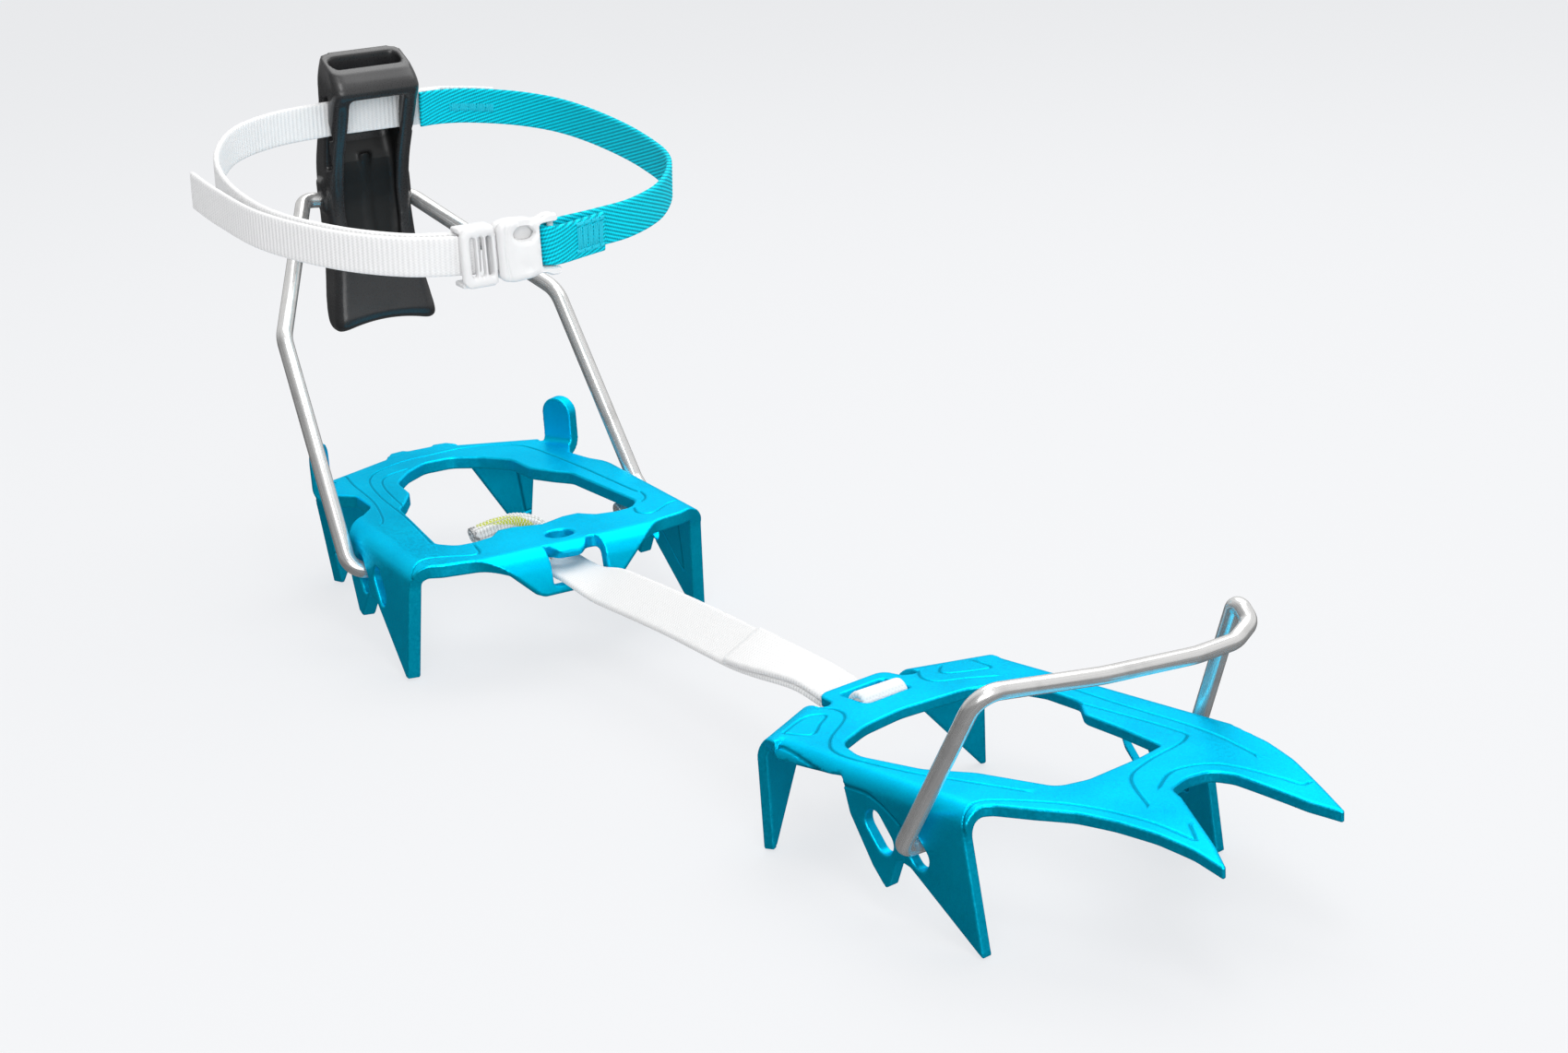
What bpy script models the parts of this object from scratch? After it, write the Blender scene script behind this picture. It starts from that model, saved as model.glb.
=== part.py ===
"""A pair's right-foot crampon: two folded aluminium plates joined by a webbing link.

Lengths below are millimetres and become metres through MM.  +X points to the toe,
+Y to the inner side of the foot and +Z up.  Spikes stand on z = 0.
"""
import math

import bmesh
import bpy
from mathutils import Matrix, Vector
from mathutils.geometry import delaunay_2d_cdt

MM = 0.001
TURN = math.tau

# Sheet stock of the two frames, and the inner radii of their bends
HEEL_PLATE = 3.5
TOE_PLATE = 2.5
SIDE_INNER = 1.9
REAR_INNER = 3.6

# Heel frame
HEEL_TOP = 30.9
HEEL_HALF = 41.0
HEEL_REAR_REACH = 91.2
HEEL_FOOT = {-1: 7.6, 1: 11.0}
HEEL_SPLAY = {-1: math.radians(4.5), 1: math.radians(3)}
POST_REACH = 69.6
POST_RUN = {-1: -45.2, 1: -45.8}
POST_HALF = 4.8
POST_TOP = 43.8
APRON_START = 9.0
APRON_ANGLE = math.radians(80)

# Toe frame, placed and turned against the heel frame
TOE_TOP = 30.4
TOE_HALF = 34.0
TOE_REAR_REACH = 77.2
TOE_PLACE = (204.0, 28.2)
TOE_YAW = math.radians(10.8)
TOE_PITCH = 0.048
POINT_DROP = 4.3

# Rear spikes are folded along lines this far off square to the foot
REAR_SKEW = math.radians(25)
POST_SKEW = math.radians(30)

# Wires
HEEL_WIRE = 4.4
TOE_WIRE = 3.6
HEEL_HOLE = {-1: (-31.0, 20.3), 1: (-35.0, 20.3)}
TOE_HOLE = {-1: (-20.0, 17.9), 1: (-12.0, 17.2)}
HOLE_SLACK = 1.3

# Bail knees and lever
KNEE = (-78.0, 40.2, 73.6)
CROSS_NEAR = (-127.0, -14.6, 100.0)
CROSS_FAR = (-126.2, 17.6, 97.0)
CROSS = (-126.6, 1.5, 98.5)
LEVER_Y = 3.2

# Webbing
STRAP_W = 10.0
STRAP_T = 1.6
LOOP_SLOPE = 0.128

# The whole crampon is moved so its box stands centred on the origin
SHIFT = (-59.63, -1.34)


def clear_scene():
    """Empty the file before building."""
    for item in list(bpy.data.objects):
        bpy.data.objects.remove(item)


def collection(name):
    """Make a collection under the scene."""
    group = bpy.data.collections.new(name)
    bpy.context.scene.collection.children.link(group)
    return group


def material(name, colour, rough, metal=0.0):
    """Make one Principled material."""
    mat = bpy.data.materials.new(name)
    mat.use_nodes = True
    shader = mat.node_tree.nodes["Principled BSDF"]
    shader.inputs["Base Color"].default_value = (*colour, 1.0)
    shader.inputs["Roughness"].default_value = rough
    shader.inputs["Metallic"].default_value = metal
    return mat


def rounded(corners, step=0.35):
    """Turn (x, y, radius) corners into an outline with filleted corners."""
    outline = []
    count = len(corners)
    for i in range(count):
        here = Vector(corners[i][:2])
        radius = corners[i][2]
        back = Vector(corners[i - 1][:2]) - here
        ahead = Vector(corners[(i + 1) % count][:2]) - here
        if radius <= 0 or back.length < 1e-6 or ahead.length < 1e-6:
            outline.append(here)
            continue
        angle = back.angle(ahead)
        if angle > math.pi - 0.05:
            outline.append(here)
            continue
        reach = min(radius / math.tan(angle / 2), 0.48 * back.length, 0.48 * ahead.length)
        radius = reach * math.tan(angle / 2)
        start = here + back.normalized() * reach
        end = here + ahead.normalized() * reach
        middle = (back.normalized() + ahead.normalized()).normalized()
        centre = here + middle * (radius / math.sin(angle / 2))
        sweep = math.pi - angle
        pieces = max(1, round(sweep / step))
        first = start - centre
        sign = 1 if first.x * (end - centre).y - first.y * (end - centre).x > 0 else -1
        for k in range(pieces + 1):
            turn = sign * sweep * k / pieces
            cos, sin = math.cos(turn), math.sin(turn)
            outline.append(centre + Vector((first.x * cos - first.y * sin,
                                            first.x * sin + first.y * cos)))
    return outline


def slot(centre, half_run, width, lean):
    """Outline of a slot with round ends."""
    points = []
    for end in (1, -1):
        for k in range(7):
            turn = lean + (0 if end > 0 else math.pi) - math.pi / 2 + math.pi * k / 6
            points.append(Vector(centre) + half_run * end * Vector((math.cos(lean), math.sin(lean)))
                          + width / 2 * Vector((math.cos(turn), math.sin(turn))))
    return points


def inside(point, loop):
    """Even-odd test of a point against one outline."""
    hit = False
    for i in range(len(loop)):
        a, b = loop[i - 1], loop[i]
        if (a.y > point.y) != (b.y > point.y):
            if point.x < (b.x - a.x) * (point.y - a.y) / (b.y - a.y) + a.x:
                hit = not hit
    return hit


def blank(outline, holes):
    """Triangulated flat blank as a bmesh, holes left open."""
    points, edges = [], []
    for loop in [outline] + holes:
        first = len(points)
        points += loop
        edges += [(first + i, first + (i + 1) % len(loop)) for i in range(len(loop))]
    verts, _, faces = delaunay_2d_cdt(points, edges, [], 1, 1e-5)[:3]
    mesh = bmesh.new()
    made = [mesh.verts.new((v.x, v.y, 0)) for v in verts]
    for face in faces:
        middle = sum((verts[i] for i in face), Vector((0, 0))) / len(face)
        if inside(middle, outline) and not any(inside(middle, hole) for hole in holes):
            mesh.faces.new([made[i] for i in face])
    for vert in [v for v in mesh.verts if not v.link_faces]:
        mesh.verts.remove(vert)
    return mesh


class Fold:
    """One bend of the blank: a start line, a zone, an angle and a mid radius."""

    def __init__(self, out, surface, stock, inner, zone, angle=math.pi / 2, up=False):
        self.out = Vector(out).normalized()
        self.reach = surface - inner - stock
        radius = inner + stock / 2
        self.zone = zone
        self.angle = angle
        self.radius = radius
        self.arc = angle * radius
        self.up = up

    def place(self, point, lift):
        """Folded position of a blank point lifted off the mid surface."""
        run = self.out.dot(point) - self.reach
        if run <= 0 or not self.zone(point):
            return None
        turn = min(run / self.radius, self.angle)
        rest = max(0.0, run - self.arc)
        side = -1 if self.up else 1
        raised = lift * side
        across = (self.radius + raised) * math.sin(turn) + rest * math.cos(turn)
        down = self.radius - (self.radius + raised) * math.cos(turn) + rest * math.sin(turn)
        flat = point + self.out * (across - run)
        return Vector((flat.x, flat.y, -down * side))


def fold_sheet(name, outline, holes, folds, stock, shape, group, mat, origin, cuts=5):
    """Cut a blank, fold it and give it the plate thickness."""
    sheet = blank(outline, holes)
    for fold in folds:
        steps = [fold.reach + fold.arc * k / cuts for k in range(cuts + 1)]
        for reach in steps:
            zone_faces = [f for f in sheet.faces
                          if any(fold.zone(v.co.xy) and fold.out.dot(v.co.xy) > fold.reach - 6
                                 for v in f.verts)]
            geom = zone_faces + list({e for f in zone_faces for e in f.edges})
            geom += list({v for f in zone_faces for v in f.verts})
            bmesh.ops.bisect_plane(sheet, geom=geom, dist=1e-4,
                                   plane_co=(*(fold.out * reach), 0), plane_no=(*fold.out, 0))
    bmesh.ops.triangulate(sheet, faces=[f for f in sheet.faces if len(f.verts) > 4])
    solid = bmesh.new()
    layers = {}
    for lift in (stock / 2, -stock / 2):
        for vert in sheet.verts:
            place = None
            for fold in folds:
                place = fold.place(vert.co.xy, lift)
                if place is not None:
                    break
            if place is None:
                place = Vector((vert.co.x, vert.co.y, lift))
            layers[vert, lift > 0] = solid.verts.new(shape(place) * MM)
    for face in sheet.faces:
        solid.faces.new([layers[v, True] for v in face.verts])
        solid.faces.new([layers[v, False] for v in reversed(face.verts)])
    for edge in sheet.edges:
        if len(edge.link_faces) == 1:
            loop = edge.link_faces[0].loops
            a, b = next((l.vert, l.link_loop_next.vert) for l in loop if l.edge == edge)
            solid.faces.new([layers[b, True], layers[a, True], layers[a, False], layers[b, False]])
    return finish(name, solid, group, mat, origin)


def finish(name, built, group, mat, origin, smooth=math.radians(30)):
    """Turn a bmesh in world metres into a named object with its own origin."""
    bmesh.ops.recalc_face_normals(built, faces=built.faces)
    move = Vector((SHIFT[0] * MM, SHIFT[1] * MM, 0))
    centre = Vector(origin) * MM
    for vert in built.verts:
        vert.co -= centre
    mesh = bpy.data.meshes.new(name)
    built.to_mesh(mesh)
    built.free()
    mesh.shade_smooth()
    mesh.set_sharp_from_angle(angle=smooth)
    item = bpy.data.objects.new(name, mesh)
    item.location = centre + move
    group.objects.link(item)
    if mat:
        mesh.materials.append(mat)
    return item


def mirror(points):
    """Same outline on the other side of the foot, run the other way."""
    return [(x, -y, r) for x, y, r in reversed(points)]


# ---------------------------------------------------------------- heel frame

def drop_to(z, top, stock, inner=SIDE_INNER):
    """Blank distance past the bend line that lands at height z."""
    middle = inner + stock / 2
    return middle * math.pi / 2 + (top - stock / 2 - middle - z)


def spike_axes(skew, side):
    """Outward and along directions of a rear fold on one side."""
    out = Vector((-math.cos(skew), side * math.sin(skew)))
    along = Vector((-math.sin(skew), -side * math.cos(skew)))
    return out, along


def rear_spike(reach, top, stock, foot, tip, side, inner, outer):
    """Corners of a folded rear spike, from its outer root to its inner root."""
    out, along = spike_axes(REAR_SKEW, side)
    line = reach - REAR_INNER - stock
    corners = []
    for run, z, r in ((foot - outer, top - stock, 2), (foot - 0.6, tip, 0.4),
                      (foot + 0.6, tip, 0.4), (foot + inner, top - stock - 2, 3)):
        spot = out * (line + drop_to(z, top, stock, REAR_INNER)) + along * run
        corners.append((spot.x, spot.y, r))
    return corners


def heel_flank(side):
    """Side flange with its long and short spikes, front to rear."""
    line = HEEL_HALF - SIDE_INNER - HEEL_PLATE
    tip = 1.4 if side < 0 else 0.0
    root = -41.0 if side < 0 else -44.6
    corners = []
    for x, z, r in ((3.2, 25.0, 3), (tip - 0.8, 0.15, 0.4), (tip - 2.0, 0.15, 0.4),
                    (-21.0, 15.0, 3.5), (-26.5, 14.6, 2.5), (-31.5, 7.6, 0.8),
                    (-34.0, 8.4, 0.8), (-39.4, 16.5, 4), (root, 27.0, 5)):
        corners.append((x, side * (line + drop_to(z, HEEL_TOP, HEEL_PLATE)), r))
    return corners


def heel_post(side):
    """Blank of the upturned rear post."""
    out = Vector((-math.sin(POST_SKEW), side * math.cos(POST_SKEW)))
    along = Vector((math.cos(POST_SKEW), side * math.sin(POST_SKEW)))
    start = POST_REACH - SIDE_INNER - HEEL_PLATE
    middle = SIDE_INNER + HEEL_PLATE / 2
    height = middle * math.pi / 2 + POST_TOP - (HEEL_TOP - HEEL_PLATE / 2) - middle
    front = POST_RUN[side] + POST_HALF
    back = POST_RUN[side] - POST_HALF
    corners = []
    for run, far, r in ((front, 1.0, 2.5), (front, height, POST_HALF),
                        (back, height, POST_HALF), (back, 1.0, 3)):
        spot = out * (start + far) + along * run
        corners.append((spot.x, spot.y, r))
    return corners


def heel_half(side):
    """Outline of one side of the heel blank from the front to the rear."""
    apron = [(21.5, side * 10.5, 3.5), (14.6, side * 17.5, 6), (9.6, side * 25.0, 10),
             (7.8, side * 33.5, 4)]
    shape = ((-44.0, 35.4), (-50.0, 30.6), (-61.5, 30.6))
    if side > 0:
        shape = ((-47.0, 37.6), (-52.8, 35.0), (-61.5, 33.0))
    notch = [(x, side * y, r) for (x, y), r in zip(shape, (8, 5, 2.5))]
    corner = [(-80.5, side * 31.2, 2.0)]
    spike = rear_spike(HEEL_REAR_REACH, HEEL_TOP, HEEL_PLATE, HEEL_FOOT[side], 0.0, side,
                       19.0 if side < 0 else 16.0, 4.2)
    rear = [(-91.0, side * 10.4, 1.5), (-94.0, side * 8.6, 1.0), (-94.6, side * 4.4, 1.0),
            (-93.2, side * 3.6, 1.0)]
    return apron + heel_flank(side) + notch + heel_post(side) + corner + spike + rear


def heel_outline():
    """Whole outline of the heel blank."""
    return [(21.5, 0.0, 0)] + heel_half(-1) + list(reversed(heel_half(1)))


def heel_holes():
    """Openings of the heel blank."""
    half = [(-6.6, 0.0, 0), (-9.2, -7.0, 3), (-9.2, -11.4, 1.2), (-7.0, -13.2, 0.9),
            (-5.2, -14.9, 1.2), (-4.0, -20.0, 5), (-4.4, -24.5, 4), (-9.0, -28.2, 4),
            (-43.0, -25.0, 4), (-48.0, -21.5, 5), (-55.0, -17.6, 6), (-66.0, -16.9, 6),
            (-74.0, -10.6, 6), (-79.0, -4.0, 5)]
    opening = rounded(half + mirror(half[1:]))
    window = rounded([(9.2, -7.0, 0.6), (12.4, -3.2, 3), (12.8, 2.8, 2.5), (9.6, 5.2, 1.2),
                      (9.6, 7.6, 2), (12.5, 8.1, 1.5), (19.3, 8.1, 1), (19.3, -7.0, 1),
                      (13.5, -7.0, 2)])
    eye = slot((3.4, 0.5), 0.5, 6.4, math.pi / 2)
    holes = [opening, window, eye]
    for side in (-1, 1):
        for x in (HEEL_HOLE[side][0], HEEL_HOLE[side][0] + 12.5):
            y = HEEL_HALF - SIDE_INNER - HEEL_PLATE
            y += drop_to(HEEL_HOLE[side][1] - 0.7, HEEL_TOP, HEEL_PLATE)
            lean = math.radians(48)
            ends = slot((x + 0.6, y), 2.4, HEEL_WIRE + HOLE_SLACK, lean)
            holes.append([Vector((p.x, p.y * side)) for p in ends])
    return holes


def heel_frame(group, mat):
    """Fold the heel section."""
    stock = HEEL_PLATE
    folds = []
    for side in (-1, 1):
        out = (-math.sin(POST_SKEW), side * math.cos(POST_SKEW))
        along = Vector((math.cos(POST_SKEW), side * math.sin(POST_SKEW)))
        folds.append(Fold(out, POST_REACH, stock, SIDE_INNER,
                          lambda p, s=side, a=along: abs(a.dot(p) - POST_RUN[s]) < 6.4
                          and p.y * s > 27, up=True))
        folds.append(Fold((0, side), HEEL_HALF, stock, SIDE_INNER,
                          lambda p, s=side: p.x > -48 and p.y * s > 30,
                          math.pi / 2 - HEEL_SPLAY[side]))
        out = spike_axes(REAR_SKEW, side)[0]
        folds.append(Fold(out, HEEL_REAR_REACH, stock, REAR_INNER,
                          lambda p, s=side: p.x < -74 and p.y * s > 10.2))
    folds.append(Fold((1, 0), APRON_START + 2.5 + stock, stock, 2.5,
                      lambda p: abs(p.y) < 33, APRON_ANGLE))
    base = HEEL_TOP - stock / 2
    return fold_sheet("heel_frame", rounded(heel_outline()), heel_holes(), folds, stock,
                      lambda p: p + Vector((0, 0, base)), group, mat, (0, 0, 0))


# ----------------------------------------------------------------- toe frame

def toe_world(place):
    """Toe-section coordinates to crampon coordinates, still millimetres."""
    cos, sin = math.cos(TOE_YAW), math.sin(TOE_YAW)
    return Vector((TOE_PLACE[0] + cos * place[0] - sin * place[1],
                   TOE_PLACE[1] + sin * place[0] + cos * place[1], place[2]))


def toe_shape(place):
    """Pitch the toe plate, droop its front points and set it in place."""
    z = place.z + TOE_TOP - TOE_PLATE / 2 + TOE_PITCH * place.x
    ahead = max(0.0, place.x - 5.0) / 42.0
    return toe_world((place.x, place.y, z - POINT_DROP * ahead ** 1.6))


def toe_flank(side):
    """Side flange of the toe blank, front to rear; the outer one has a short spike."""
    line = TOE_HALF - SIDE_INNER - TOE_PLATE
    shape = ((-5.0, 24.0, 4), (-0.9, 0.0, 0.3), (-1.5, 0.0, 0.3), (-21.0, 12.6, 2),
             (-24.6, 13.2, 1.5), (-27.4, 6.6, 0.5), (-28.9, 5.6, 0.5),
             (-32.5, 9.4, 3), (-38.8, 19.0, 4), (-40.8, 26.0, 3))
    if side > 0:
        shape = ((-3.0, 24.0, 4), (0.4, 0.0, 0.3), (-0.1, 0.0, 0.3), (-19.0, 9.0, 4),
                 (-25.5, 16.0, 4), (-29.0, 25.0, 4))
    corners = []
    for x, z, r in shape:
        local = z - TOE_PITCH * x
        corners.append((x, side * (line + drop_to(local, TOE_TOP, TOE_PLATE)), r))
    return corners


def toe_rear(side):
    """Rim behind the side flange and the rear spike."""
    rim = [(-44.5, side * 33.2, 3), (-61.0, side * 34.0, 3)]
    if side > 0:
        rim = [(-34.0, side * 32.2, 3), (-60.0, side * 31.4, 3)]
    return rim + rear_spike(TOE_REAR_REACH, TOE_TOP, TOE_PLATE, 1.2, 3.4, side, 19.6, 1.0)


def toe_outline():
    """Whole outline of the toe blank, not quite even from side to side."""
    near_claw = [(46.4, -16.9, 0.5), (37.0, -15.8, 12), (28.5, -16.4, 12), (19.8, -18.4, 12),
                 (12.3, -21.0, 10), (5.5, -25.0, 8), (-3.4, -29.0, 4)]
    far_claw = [(-0.2, 33.5, 3), (6.0, 30.5, 8), (16.5, 29.0, 14), (25.3, 26.4, 16),
                (35.2, 21.9, 16), (45.9, 16.9, 0.5), (38.2, 14.6, 10), (29.3, 13.6, 10),
                (21.5, 12.8, 5), (17.4, 10.6, 4), (16.4, 5.2, 5), (17.6, -0.4, 2.5),
                (21.4, -1.8, 3), (27.6, -5.4, 10), (38.6, -11.6, 10)]
    ring_near = [(-69.5, -14.0, 3), (-71.0, -10.4, 2), (-77.2, -9.4, 3)]
    ring_far = [(-77.2, 9.4, 3), (-71.0, 10.4, 2), (-69.5, 14.0, 3)]
    near = toe_flank(-1) + toe_rear(-1) + ring_near
    far = list(reversed(toe_flank(1)))
    back = list(reversed(toe_rear(1)))
    return near_claw + near + ring_far + back + far + far_claw


def toe_holes():
    """Openings of the toe blank."""
    opening = rounded([(-55.8, -4.0, 12), (-53.6, 12.6, 8), (-49.0, 20.6, 7), (-39.5, 22.6, 6),
                       (-28.6, 21.8, 5), (-22.6, 17.0, 4), (-11.5, 15.8, 5), (2.0, 13.6, 1.2),
                       (2.8, 6.0, 4), (2.8, -8.0, 5), (0.6, -14.2, 4), (-16.9, -18.9, 8),
                       (-26.8, -24.2, 8), (-42.4, -27.4, 8), (-50.6, -25.0, 5),
                       (-54.6, -15.0, 12)])
    ring = rounded([(-73.4, -6.4, 1.2), (-73.4, 6.4, 1.2), (-64.0, 6.4, 1.2),
                    (-64.0, -6.4, 1.2)])
    holes = [opening, ring]
    for side in (-1, 1):
        for x in (TOE_HOLE[side][0], TOE_HOLE[side][0] - 10.4):
            local = TOE_HOLE[side][1] - 0.4 - TOE_PITCH * x
            y = TOE_HALF - SIDE_INNER - TOE_PLATE + drop_to(local, TOE_TOP, TOE_PLATE)
            ends = slot((x + 0.4, y), 2.4, TOE_WIRE + HOLE_SLACK + 0.2, math.radians(50))
            holes.append([Vector((p.x, p.y * side)) for p in ends])
    return holes


def toe_frame(group, mat):
    """Fold the toe section."""
    stock = TOE_PLATE
    folds = []
    for side in (-1, 1):
        folds.append(Fold((0, side), TOE_HALF, stock, SIDE_INNER,
                          lambda p, s=side: -62.5 < p.x < 14 and p.y * s > 25))
        out = spike_axes(REAR_SKEW, side)[0]
        folds.append(Fold(out, TOE_REAR_REACH, stock, REAR_INNER,
                          lambda p, s=side: p.x < -61 and p.y * s > 12.5))
    return fold_sheet("toe_frame", rounded(toe_outline()), toe_holes(), folds, stock,
                      toe_shape, group, mat, toe_world((-68.0, 0.0, 27.0)))


# -------------------------------------------------------------------- sweeps

def soften(points, radii, step=0.3):
    """Round the inner corners of an open polyline in space."""
    path = [Vector(points[0])]
    for i in range(1, len(points) - 1):
        here = Vector(points[i])
        back = Vector(points[i - 1]) - here
        ahead = Vector(points[i + 1]) - here
        angle = back.angle(ahead)
        reach = min(radii[i] / math.tan(angle / 2), 0.49 * back.length, 0.49 * ahead.length)
        start = here + back.normalized() * reach
        end = here + ahead.normalized() * reach
        radius = reach * math.tan(angle / 2)
        centre = here + (back.normalized() + ahead.normalized()).normalized() \
            * (radius / math.sin(angle / 2))
        pieces = max(2, round((math.pi - angle) / step))
        first, last = start - centre, end - centre
        sweep = math.pi - angle
        for k in range(pieces + 1):
            t = k / pieces
            path.append(centre + (first * math.sin((1 - t) * sweep) + last * math.sin(t * sweep))
                        / math.sin(sweep))
    path.append(Vector(points[-1]))
    return path


def smooth_path(points, pieces=4, closed=False):
    """Catmull-Rom curve through points."""
    count = len(points)
    path = []
    spans = count if closed else count - 1
    for i in range(spans):
        if closed:
            a, b, c, d = (Vector(points[(i + k) % count]) for k in (-1, 0, 1, 2))
        else:
            a, b, c, d = (Vector(points[min(max(i + k, 0), count - 1)]) for k in (-1, 0, 1, 2))
        for k in range(pieces):
            t = k / pieces
            path.append(0.5 * (2 * b + (c - a) * t + (2 * a - 5 * b + 4 * c - d) * t * t
                               + (3 * b - a - 3 * c + d) * t ** 3))
    if not closed:
        path.append(Vector(points[-1]))
    return path


def sweep(name, path, frames, section, group, mat, origin, closed=False):
    """Carry a closed section along a path; frames give side and up at each point."""
    built = bmesh.new()
    rings = []
    for spot, (side, up) in zip(path, frames):
        rings.append([built.verts.new((spot + side * u + up * v) * MM) for u, v in section])
    count = len(section)
    pairs = list(zip(rings, rings[1:]))
    if closed:
        pairs.append((rings[-1], rings[0]))
    for a, b in pairs:
        for i in range(count):
            j = (i + 1) % count
            built.faces.new([a[i], a[j], b[j], b[i]])
    if not closed:
        built.faces.new(list(reversed(rings[0])))
        built.faces.new(rings[-1])
    return finish(name, built, group, mat, origin)


def wire(name, path, thickness, group, mat, origin, sides=14):
    """Round wire along a path with a rotation-minimising frame."""
    section = [(thickness / 2 * math.cos(TURN * k / sides),
                thickness / 2 * math.sin(TURN * k / sides)) for k in range(sides)]
    frames = []
    side = None
    for i in range(len(path)):
        ahead = (path[min(i + 1, len(path) - 1)] - path[max(i - 1, 0)]).normalized()
        if side is None:
            side = ahead.orthogonal()
        side = (side - ahead * side.dot(ahead)).normalized()
        frames.append((side, ahead.cross(side)))
    return sweep(name, path, frames, section, group, mat, origin)


def band_section(width, thick):
    """Flat strap section with eased edges: u across the thickness, v across the width."""
    ease = thick * 0.3
    a, b = thick / 2, width / 2
    return [(a, b - ease), (a - ease, b), (ease - a, b), (-a, b - ease),
            (-a, ease - b), (ease - a, -b), (a - ease, -b), (a, ease - b)]


# ---------------------------------------------------------------------- wires

def stub_ends(near, far, depth):
    """Inner ends of the two wire stubs, both on the line through the two holes."""
    near = Vector(near)
    far = Vector(far)
    run = (far - near).normalized() * depth
    return near + run, far - run


def heel_bail(group, mat):
    """Wire from flange to flange over the back of the boot."""
    near = (HEEL_HOLE[-1][0], -44.4, HEEL_HOLE[-1][1])
    far = (HEEL_HOLE[1][0], 44.0, HEEL_HOLE[1][1])
    inner, outer = stub_ends(near, far, 10.5)
    points = [inner, near, (KNEE[0], -KNEE[1], KNEE[2]), CROSS_NEAR, CROSS_FAR, KNEE,
              (-42.5, 43.6, 25.6), far, outer]
    radii = [0, 5.5, 9, 3.6, 3.6, 12, 5, 3.8, 0]
    axis = (Vector(near) + Vector(far)) / 2
    return wire("heel_bail", soften(points, radii), HEEL_WIRE, group, mat, axis)


def toe_bail(group, mat):
    """Wire over the toe welt, its far hole further forward than the near one."""
    near = (TOE_HOLE[-1][0], -37.2, TOE_HOLE[-1][1])
    far = (TOE_HOLE[1][0], 37.0, TOE_HOLE[1][1])
    inner, outer = stub_ends(near, far, 9.0)
    points = [inner, near, (3.2, -36.5, 57.0), (6.9, -7.4, 53.0), (8.4, 17.0, 50.4),
              (8.0, 29.0, 49.8), (7.0, 34.6, 52.0), (2.3, 35.8, 55.6), far, outer]
    radii = [0, 3.0, 5, 30, 20, 8, 3.0, 3.0, 3.2, 0]
    axis = (Vector(near) + Vector(far)) / 2
    return wire("toe_bail", soften([toe_world(p) for p in points], radii), TOE_WIRE, group,
                mat, toe_world(axis))


# ---------------------------------------------------------------------- lever

def box(name, size, centre, group, bevel=0.0, pieces=2):
    """Beveled block used as a body or a cutter, in crampon millimetres."""
    built = bmesh.new()
    bmesh.ops.create_cube(built, size=1.0)
    for vert in built.verts:
        vert.co = Vector(v * s * MM for v, s in zip(vert.co, size))
    mesh = bpy.data.meshes.new(name)
    built.to_mesh(mesh)
    built.free()
    item = bpy.data.objects.new(name, mesh)
    item.location = Vector(centre) * MM + Vector((SHIFT[0], SHIFT[1], 0)) * MM
    group.objects.link(item)
    if bevel:
        ease = item.modifiers.new("ease", "BEVEL")
        ease.width = bevel * MM
        ease.segments = pieces
    return item


def rod(name, radius, length, centre, group, sides=20):
    """Cutter rod along Y."""
    built = bmesh.new()
    bmesh.ops.create_cone(built, cap_ends=True, segments=sides, radius1=radius * MM,
                          radius2=radius * MM, depth=length * MM,
                          matrix=Matrix.Rotation(math.pi / 2, 4, "X"))
    mesh = bpy.data.meshes.new(name)
    built.to_mesh(mesh)
    built.free()
    item = bpy.data.objects.new(name, mesh)
    item.location = Vector(centre) * MM + Vector((SHIFT[0], SHIFT[1], 0)) * MM
    group.objects.link(item)
    return item


def cut(body, cutter):
    """Subtract a cutter from a body."""
    cutter.hide_render = True
    cutter.display_type = "WIRE"
    tool = body.modifiers.new(cutter.name, "BOOLEAN")
    tool.operation = "DIFFERENCE"
    tool.solver = "EXACT"
    tool.object = cutter


LEVER = ((61.6, -124.4, -117.6, 13.2), (64.0, -126.6, -115.6, 14.4),
         (70.0, -129.2, -116.6, 14.2), (80.0, -131.2, -118.2, 13.1),
         (92.0, -131.9, -119.4, 12.6), (101.0, -131.9, -119.4, 12.5),
         (110.0, -130.6, -116.4, 12.5), (119.0, -126.0, -111.2, 12.6),
         (127.0, -121.6, -106.8, 12.8), (133.6, -119.6, -103.6, 12.8),
         (139.0, -118.0, -107.0, 12.0))


def loft(name, stations, ease_by, group, tilt=0.0):
    """Stack eased rectangles (height, back, front, half width) into one body."""
    built = bmesh.new()
    rings = []
    for z, back, front, half in stations:
        ease = min(ease_by, 0.42 * (front - back), 0.42 * half)
        lean = tilt if z > 130 else 0.0
        ring = []
        for x, y in ((back, -half + ease), (back + 0.3 * ease, -half + 0.3 * ease),
                     (back + ease, -half), (front - ease, -half),
                     (front - 0.3 * ease, -half + 0.3 * ease), (front, -half + ease),
                     (front, half - ease), (front - 0.3 * ease, half - 0.3 * ease),
                     (front - ease, half), (back + ease, half),
                     (back + 0.3 * ease, half - 0.3 * ease), (back, half - ease)):
            rise = lean * ((front - x) / (front - back) - 0.4)
            ring.append(built.verts.new(Vector((x, y + LEVER_Y, z + rise)) * MM))
        rings.append(ring)
    for a, b in zip(rings, rings[1:]):
        for i in range(12):
            j = (i + 1) % 12
            built.faces.new([a[i], a[j], b[j], b[i]])
    built.faces.new(list(reversed(rings[0])))
    built.faces.new(rings[-1])
    return finish(name, built, group, None, CROSS, math.radians(40))


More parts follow.
